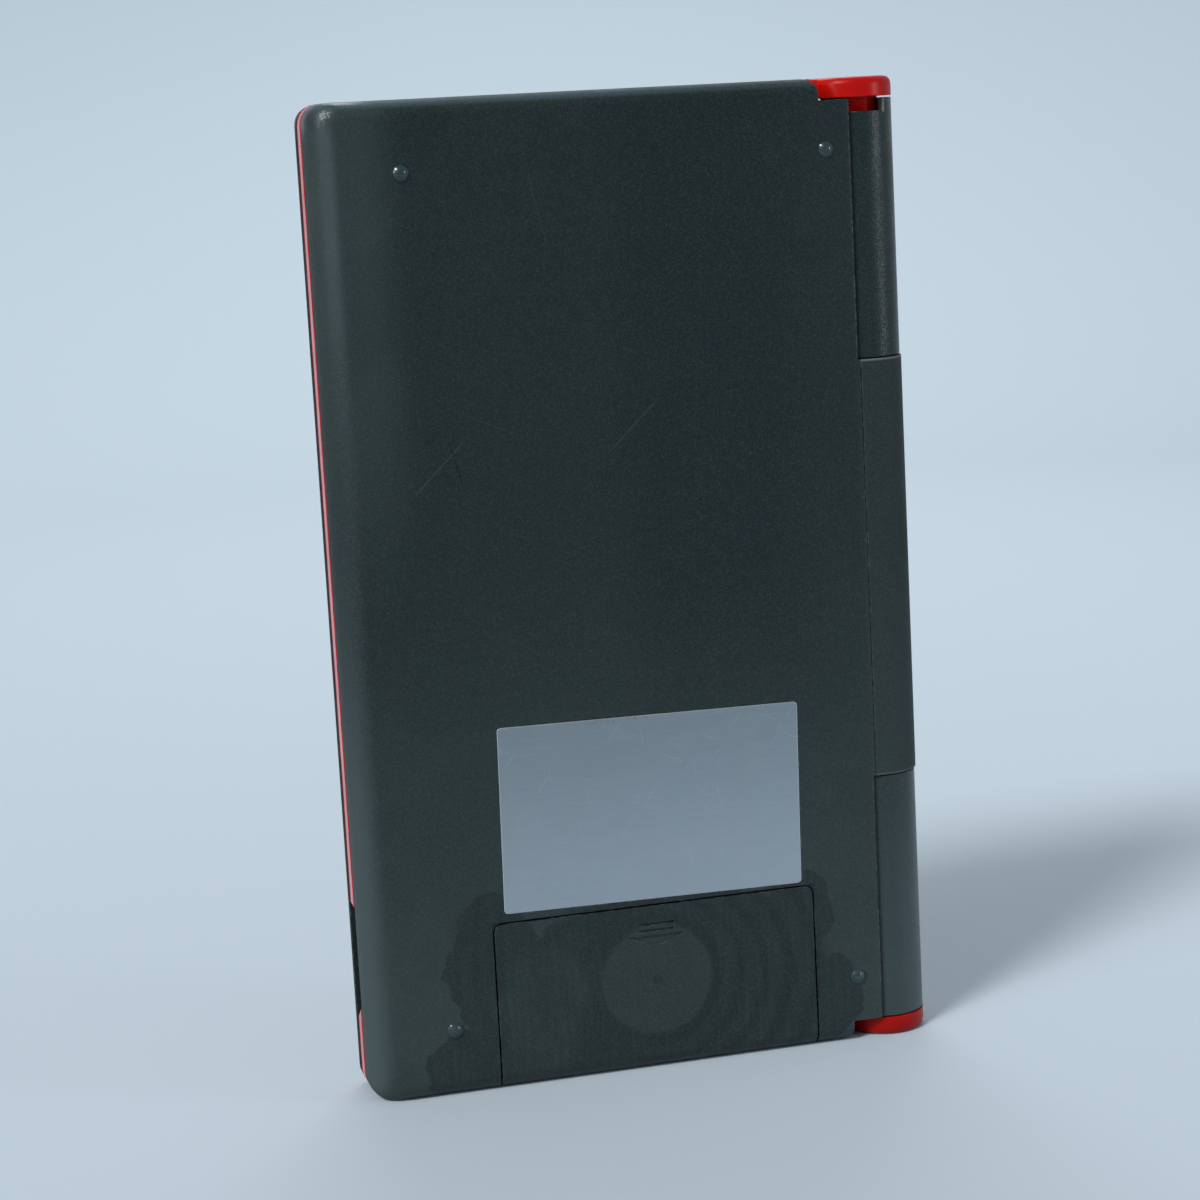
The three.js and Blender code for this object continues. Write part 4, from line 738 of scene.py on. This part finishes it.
def bare_metal(name, base, dull, line_scale, roughness):
    """Plated or drawn metal with fine lines, dull patches and bright rims."""
    material, tree, shader = finish(name, Metallic=1.0)
    place = place_of(tree)
    rim = use(tree, rubbed_rim, Place=place, Width=0.12, Breakup_Size=0.9, Amount=0.6)
    lines = add(tree, "Mapping", {"Vector": place, "Scale": line_scale}).outputs[0]
    drawn = clouds(tree, lines, 1.0, 4.0, 0.65)
    bump = add(tree, "Bump", {
        "Strength": 0.3, "Distance": METAL_LINE_DEPTH, "Height": drawn, "Normal": rim["Normal"],
    })
    film = use(tree, handled_film, Place=place, Patch_Size=3.0)["Mask"]
    colour = tint_by(tree, film, 0.7, base, dull)
    colour = tint_by(tree, rim["Mask"], 0.5, colour, base)
    gloss = worn_gloss(tree, film, roughness, roughness + TARNISH)
    feed(tree, shader, Base_Color=colour, Roughness=gloss, Normal=bump.outputs[0])
    return material


coat(["hinge_pin", "screw_1", "screw_2", "screw_3", "screw_4"],
     bare_metal("plated_steel", STEEL, STEEL_DULL, WIRE_LINES, 0.28))
coat(["cell_1", "cell_2"], bare_metal("nickel_can", STEEL, STEEL_DULL, CAN_LINES, 0.22))

# Battery contacts and sound disc
# The contacts are stamped from spring brass and lie on the floor of the compartment, and the disc is a thin
# brass plate glued inside the back. The metal is bright at its rims and browned in patches.
BRASS = (0.62, 0.43, 0.17, 1.0)
BRASS_DULL = (0.30, 0.18, 0.07, 1.0)
STRIP_LINES = (0.5, 4.0, 8.0)
coat(["contact_1", "contact_2", "contact_bridge", "sound_disc"],
     bare_metal("spring_brass", BRASS, BRASS_DULL, STRIP_LINES, 0.3))

# Circuit board, chips, key mat and display connector
# The board is glass-fibre laminate under green solder mask, and its copper tracks show through as lighter
# lines. The chips are moulded epoxy, soldered to it by their leads. Mat and connector are moulded in grey
# silicone rubber and clamped between deck and board.
MASK_GREEN = (0.010, 0.085, 0.035, 1.0)
TRACK_GREEN = (0.025, 0.19, 0.075, 1.0)
EPOXY = (0.012, 0.012, 0.013, 1.0)
EPOXY_LIGHT = (0.028, 0.028, 0.030, 1.0)
SILICONE = (0.22, 0.23, 0.22, 1.0)
SILICONE_LIGHT = (0.32, 0.33, 0.31, 1.0)
TRACK_GRID = (2.54, 2.54, 2.54)
COPPER_DEPTH = 3e-5
COPPER_EDGES = (0.62, 0.72)
MASK_GLOSS = (0.3, 0.42)

board, tree, shader = finish("green_board", Specular_IOR_Level=0.5)
place = place_of(tree)
snapped = add(tree, "VectorMath", {0: place, 1: TRACK_GRID}, operation="SNAP").outputs[0]
steps = add(tree, "TexNoise", {"Vector": snapped, "Scale": 0.31, "Detail": 0.0}).outputs[0]
swayed = add(tree, "VectorMath", {0: place, 1: steps}, operation="ADD").outputs[0]
tracks = add(tree, "TexWave", {"Vector": swayed, "Scale": 0.32, "Distortion": 0.0}).outputs[1]
copper = between(tree, tracks, *COPPER_EDGES)
weave = use(tree, fine_grain, Place=place, Grain_Size=0.5, Depth=0.02)
bump = add(tree, "Bump", {
    "Strength": 0.5, "Distance": COPPER_DEPTH, "Height": copper, "Normal": weave["Normal"],
})
film = use(tree, handled_film, Place=place, Patch_Size=8.0)["Mask"]
feed(tree, shader, Base_Color=tint(tree, copper, MASK_GREEN, TRACK_GREEN),
     Roughness=worn_gloss(tree, film, *MASK_GLOSS), Normal=bump.outputs[0])
coat(["circuit_board"], board)
coat(["main_chip", "rom_chip"], moulded_plastic("moulded_epoxy", EPOXY, EPOXY_LIGHT, 0.25, 0.5))
coat(["key_mat", "lcd_connector"], moulded_plastic("silicone_rubber", SILICONE, SILICONE_LIGHT, 0.6, 0.8))

# Key deck
# The deck plate is a dark plastic moulding with a fine eroded texture, open for the keys and the display.
# The board is screwed to it from behind, and its rim sits on the frame's ledge.
DECK = (0.014, 0.016, 0.018, 1.0)
DECK_LIGHT = (0.021, 0.024, 0.027, 1.0)
coat(["key_deck"], moulded_plastic("eroded_deck_plastic", DECK, DECK_LIGHT, 0.3, 0.6))

# Display and its window
# The display is a reflective liquid-crystal glass, grey-green when it is off, with a faint grid of dots.
# The window over it is a clear acrylic plate, let into the deck, with a dark border printed on its front.
CRYSTAL = (0.24, 0.29, 0.22, 1.0)
CRYSTAL_DOT = (0.19, 0.235, 0.175, 1.0)
ACRYLIC = (0.94, 0.97, 0.95, 1.0)
DOT_PITCH = 0.62
DOT_GAP = 0.16
CRYSTAL_GLOSS = (0.3, 0.4)
ACRYLIC_GLOSS = (0.02, 0.07)

glass, tree, shader = finish("reflective_crystal", Specular_IOR_Level=0.5)
place = place_of(tree)
x, _, z = axes_of(tree, place)
lit = None
for value in (x, z):
    cell = math_of(tree, "FRACT", math_of(tree, "DIVIDE", value, DOT_PITCH))
    inside = math_of(tree, "GREATER_THAN", cell, DOT_GAP / DOT_PITCH)
    lit = inside if lit is None else math_of(tree, "MULTIPLY", lit, inside)
film = use(tree, handled_film, Place=place, Patch_Size=14.0)["Mask"]
grain = use(tree, fine_grain, Place=place, Grain_Size=0.2, Depth=0.004)
colour = tint_by(tree, lit, 0.6, CRYSTAL, CRYSTAL_DOT)
colour = tint_by(tree, film, 0.12, colour, CRYSTAL_DOT)
gloss = worn_gloss(tree, film, *CRYSTAL_GLOSS)
feed(tree, shader, Base_Color=colour, Roughness=gloss, Normal=grain["Normal"])
coat(["lcd_panel"], glass)

acrylic, tree, shader = finish("clear_acrylic", Base_Color=ACRYLIC, Transmission_Weight=1.0, IOR=1.49,
                               Metallic=0.0)
place = place_of(tree)
film = use(tree, handled_film, Place=place, Patch_Size=10.0)["Mask"]
marks = use(tree, fine_scratches, Place=place, Length=14.0, Width=0.06, Share=0.15)["Mask"]
feed(tree, shader, Roughness=worn_gloss(tree, film, *ACRYLIC_GLOSS, marks, 0.3))
coat(["display_window"], acrylic)

WINDOW_PRINT_THICKNESS = 0.00002
WINDOW_PRINT_WIDTH = 0.0032
WINDOW_PRINT_RADIUS = 0.0016
PRINT_DARK = (0.008, 0.009, 0.010, 1.0)
PRINT_DARK_LIGHT = (0.016, 0.018, 0.019, 1.0)


def rounded_outline(low, high, radius, steps=6):
    """Points round an upright rectangle with rounded corners, as x and z."""
    points = []
    corners = ((high[0], high[1], 0), (low[0], high[1], 1), (low[0], low[1], 2), (high[0], low[1], 3))
    for x, z, quarter in corners:
        centre_x = x - math.copysign(radius, x - (low[0] + high[0]) / 2)
        centre_z = z - math.copysign(radius, z - (low[1] + high[1]) / 2)
        for step in range(steps + 1):
            angle = (quarter + step / steps) * math.pi / 2
            points.append((centre_x + radius * math.cos(angle), centre_z + radius * math.sin(angle)))
    return points


def printed_ring(name, low, high, width, radius, front, thickness):
    """A thin closed ring on a face that looks towards -Y."""
    outer = rounded_outline(low, high, radius)
    inner = rounded_outline((low[0] + width, low[1] + width), (high[0] - width, high[1] - width), radius / 2)
    mesh = bmesh.new()
    loops = []
    back = front + thickness
    for points, depth in ((outer, front), (outer, back), (inner, back), (inner, front)):
        loops.append([mesh.verts.new((x, depth, z)) for x, z in points])
    for here, there in zip(loops, loops[1:] + loops[:1]):
        for index in range(len(here)):
            after = (index + 1) % len(here)
            mesh.faces.new((here[index], here[after], there[after], there[index]))
    bmesh.ops.recalc_face_normals(mesh, faces=mesh.faces)
    data = bpy.data.meshes.new(name)
    mesh.to_mesh(data)
    mesh.free()
    piece = bpy.data.objects.new(name, data)
    bpy.context.scene.collection.objects.link(piece)
    return piece


window_low, window_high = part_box("display_window")
window_border = printed_ring(
    "window_border", (window_low.x, window_low.z), (window_high.x, window_high.z), WINDOW_PRINT_WIDTH,
    WINDOW_PRINT_RADIUS, window_low.y - WINDOW_PRINT_THICKNESS, WINDOW_PRINT_THICKNESS)
window_border.data.materials.append(
    moulded_plastic("dark_window_print", PRINT_DARK, PRINT_DARK_LIGHT, 0.2, 0.4))
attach(window_border, "root")

# Keys and their legends
# Each key is a light grey moulding with bevelled rims that the fingers have polished. Its letter or word is
# pad printed in dark ink on its front, two hundredths of a millimetre thick.
KEY_GREY = (0.40, 0.41, 0.40, 1.0)
KEY_GREY_LIGHT = (0.47, 0.48, 0.46, 1.0)
INK = (0.015, 0.017, 0.022, 1.0)
INK_THIN = (0.05, 0.055, 0.062, 1.0)
INK_THICKNESS = 0.00002
LETTER_HEIGHT = 0.0040
WORD_HEIGHT = 0.0021
CAPITAL_SHARE = 0.72
ARROW_HALF_WIDTH = 0.6
LEGENDS = {
    "on": "ON", "off": "OFF", "clear": "C", "language": "A-Z", "space": "SPACE", "delete": "DEL",
    "enter": "ENTER",
}
ARROW_MARKS = {"up": 1, "down": -1}

keys = [name for name in nodes if name.startswith("key_") and name not in ("key_deck", "key_mat")]
coat(keys, moulded_plastic("key_plastic_grey", KEY_GREY, KEY_GREY_LIGHT, 0.3, 0.5))
ink = moulded_plastic("pad_printed_ink", INK, INK_THIN, 0.15, 0.45)


def printed_word(name, words, height):
    """The word's letters as a thin mesh, centred on the origin, that reads from the -Y side."""
    curve = bpy.data.curves.new(name, "FONT")
    curve.body = words
    curve.size = height / CAPITAL_SHARE
    curve.align_x = "CENTER"
    curve.extrude = INK_THICKNESS / 2
    curve.resolution_u = 4
    lettering = bpy.data.objects.new(name + "_type", curve)
    bpy.context.scene.collection.objects.link(lettering)
    bpy.context.view_layer.update()
    data = bpy.data.meshes.new_from_object(lettering)
    bpy.data.objects.remove(lettering)
    data.transform(Matrix.Rotation(math.radians(90), 4, "X"))
    centre_mesh(data)
    return data


def printed_arrow(name, direction, height):
    """A solid triangle as a thin mesh, centred on the origin."""
    mesh = bmesh.new()
    half = height * ARROW_HALF_WIDTH
    tip = direction * height / 2
    corners = [(-half, -tip), (half, -tip), (0.0, tip)]
    bottom = mesh.faces.new([mesh.verts.new((x, INK_THICKNESS / 2, z)) for x, z in corners])
    made = bmesh.ops.extrude_face_region(mesh, geom=[bottom])
    moved = [part for part in made["geom"] if isinstance(part, bmesh.types.BMVert)]
    bmesh.ops.translate(mesh, verts=moved, vec=(0.0, -INK_THICKNESS, 0.0))
    bmesh.ops.recalc_face_normals(mesh, faces=mesh.faces)
    data = bpy.data.meshes.new(name)
    mesh.to_mesh(data)
    mesh.free()
    return data


def centre_mesh(data):
    places = np.array([vertex.co for vertex in data.vertices])
    data.transform(Matrix.Translation(-Vector((places.min(0) + places.max(0)) / 2)))


for node in keys:
    meaning = node[len("key_"):]
    title = "legend_" + meaning
    if meaning in ARROW_MARKS:
        data = printed_arrow(title, ARROW_MARKS[meaning], WORD_HEIGHT)
    else:
        words = LEGENDS.get(meaning, meaning.upper())
        data = printed_word(title, words, LETTER_HEIGHT if len(words) == 1 else WORD_HEIGHT)
    low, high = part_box(node)
    legend = bpy.data.objects.new(title, data)
    bpy.context.scene.collection.objects.link(legend)
    legend.location = ((low.x + high.x) / 2, low.y - INK_THICKNESS / 2, (low.z + high.z) / 2)
    data.materials.append(ink)
    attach(legend, node + "_body")

# Studio
# A pale floor that turns up into a round wall. A soft sun stands high on the free side and casts the shadow,
# three small lamps light the free edge, the hinge and the lid, and the sky is even and pale.
PALE = (0.475, 0.555, 0.620, 1.0)
PALE_FAR = (0.385, 0.445, 0.500, 1.0)
FLOOR_RADIUS = 0.85
FLOOR_INNER_SHARE = 0.35
WALL_CURVE = 0.55
WALL_TOP = 0.75
ROUND_FLOOR_STEPS = 96
WALL_CURVE_STEPS = 14
HINGE_WAY_X = (-200.0, -900.0)


def seamless_floor(name):
    """A floor disc that sweeps up into a round wall, with its top open."""
    profile = [(0.0, 0.0), (FLOOR_RADIUS * FLOOR_INNER_SHARE, 0.0), (FLOOR_RADIUS, 0.0)]
    for step in range(1, WALL_CURVE_STEPS + 1):
        angle = step / WALL_CURVE_STEPS * math.pi / 2
        profile.append((FLOOR_RADIUS + WALL_CURVE * math.sin(angle), WALL_CURVE * (1 - math.cos(angle))))
    profile.append((FLOOR_RADIUS + WALL_CURVE, WALL_TOP))
    mesh = bmesh.new()
    rows = []
    for radius, height in profile[1:]:
        rows.append([
            mesh.verts.new((radius * math.cos(turn), radius * math.sin(turn), height))
            for turn in (2 * math.pi * step / ROUND_FLOOR_STEPS for step in range(ROUND_FLOOR_STEPS))
        ])
    middle = mesh.verts.new((0.0, 0.0, 0.0))
    for step in range(ROUND_FLOOR_STEPS):
        after = (step + 1) % ROUND_FLOOR_STEPS
        mesh.faces.new((middle, rows[0][step], rows[0][after]))
        for inner, outer in zip(rows, rows[1:]):
            mesh.faces.new((inner[step], outer[step], outer[after], inner[after]))
    for face in mesh.faces:
        face.smooth = True
    data = bpy.data.meshes.new(name)
    mesh.to_mesh(data)
    mesh.free()
    piece = bpy.data.objects.new(name, data)
    bpy.context.scene.collection.objects.link(piece)
    return piece


floor = seamless_floor("seamless_floor")
paper, tree, shader = finish("pale_paper", Roughness=0.9, Specular_IOR_Level=0.2)
x = axes_of(tree, place_of(tree))[0]
feed(tree, shader, Base_Color=tint(tree, between(tree, x, *HINGE_WAY_X), PALE, PALE_FAR))
floor.data.materials.append(paper)

# Each lamp has its stand, its width and height, its power and its colour
LAMPS = {
    "lamp_at_free_side": ((0.95, 0.45, 0.45), (0.2, 0.5), 2.2, (1.0, 1.0, 1.0)),
    "lamp_beside_hinge": ((-0.93, 0.58, 0.26), (0.16, 0.3), 1.9, (0.95, 0.98, 1.0)),
    "lamp_over_lid": ((-0.2, -0.75, 0.9), (0.6, 0.5), 3.5, (1.0, 1.0, 1.0)),
}
LAMP_TARGET = Vector((0.0, 0.0, 0.08))
SUN_DIRECTION = Vector((0.62, 0.50, 0.75))
SUN_STRENGTH = 2.2
SUN_WIDTH = math.radians(14)
SKY = (0.97, 0.985, 1.0, 1.0)
SKY_STRENGTH = 0.36

for name, (stand, size, power, colour) in LAMPS.items():
    data = bpy.data.lights.new(name, "AREA")
    data.shape = "RECTANGLE"
    data.size, data.size_y = size
    data.energy = power
    data.color = colour
    lamp = bpy.data.objects.new(name, data)
    lamp.location = stand
    lamp.rotation_euler = (LAMP_TARGET - Vector(stand)).to_track_quat("-Z", "Y").to_euler()
    bpy.context.scene.collection.objects.link(lamp)

data = bpy.data.lights.new("key_lamp", "SUN")
data.energy = SUN_STRENGTH
data.angle = SUN_WIDTH
sun = bpy.data.objects.new("key_lamp", data)
sun.rotation_euler = SUN_DIRECTION.to_track_quat("Z", "Y").to_euler()
bpy.context.scene.collection.objects.link(sun)

sky = bpy.data.worlds.new("pale_sky")
sky.use_nodes = True
sky.node_tree.nodes["Background"].inputs["Color"].default_value = SKY
sky.node_tree.nodes["Background"].inputs["Strength"].default_value = SKY_STRENGTH
bpy.context.scene.world = sky

# Camera
# It stands half a metre away on the free side, at about the height of the case's top, and looks at the
# back slightly downwards through a long lens.
CAMERA_LENS = 84.4
CAMERA_SENSOR = 36.0
CAMERA_NEAREST = 0.01
CAMERA_PLACE = (0.12635, 0.4652, 0.16357)
CAMERA_RIGHT = Vector((-0.96407, 0.26037, -0.05277))
CAMERA_UP = Vector((-0.09336, -0.14607, 0.98486))

camera_data = bpy.data.cameras.new("camera")
camera_data.lens = CAMERA_LENS
camera_data.sensor_width = CAMERA_SENSOR
camera_data.clip_start = CAMERA_NEAREST
camera = bpy.data.objects.new("camera", camera_data)
backward = CAMERA_RIGHT.cross(CAMERA_UP)
turn = Matrix((CAMERA_RIGHT, CAMERA_UP, backward)).transposed().to_4x4()
camera.matrix_world = Matrix.Translation(CAMERA_PLACE) @ turn
bpy.context.scene.collection.objects.link(camera)
bpy.context.scene.camera = camera
bpy.context.scene.view_settings.view_transform = "Standard"
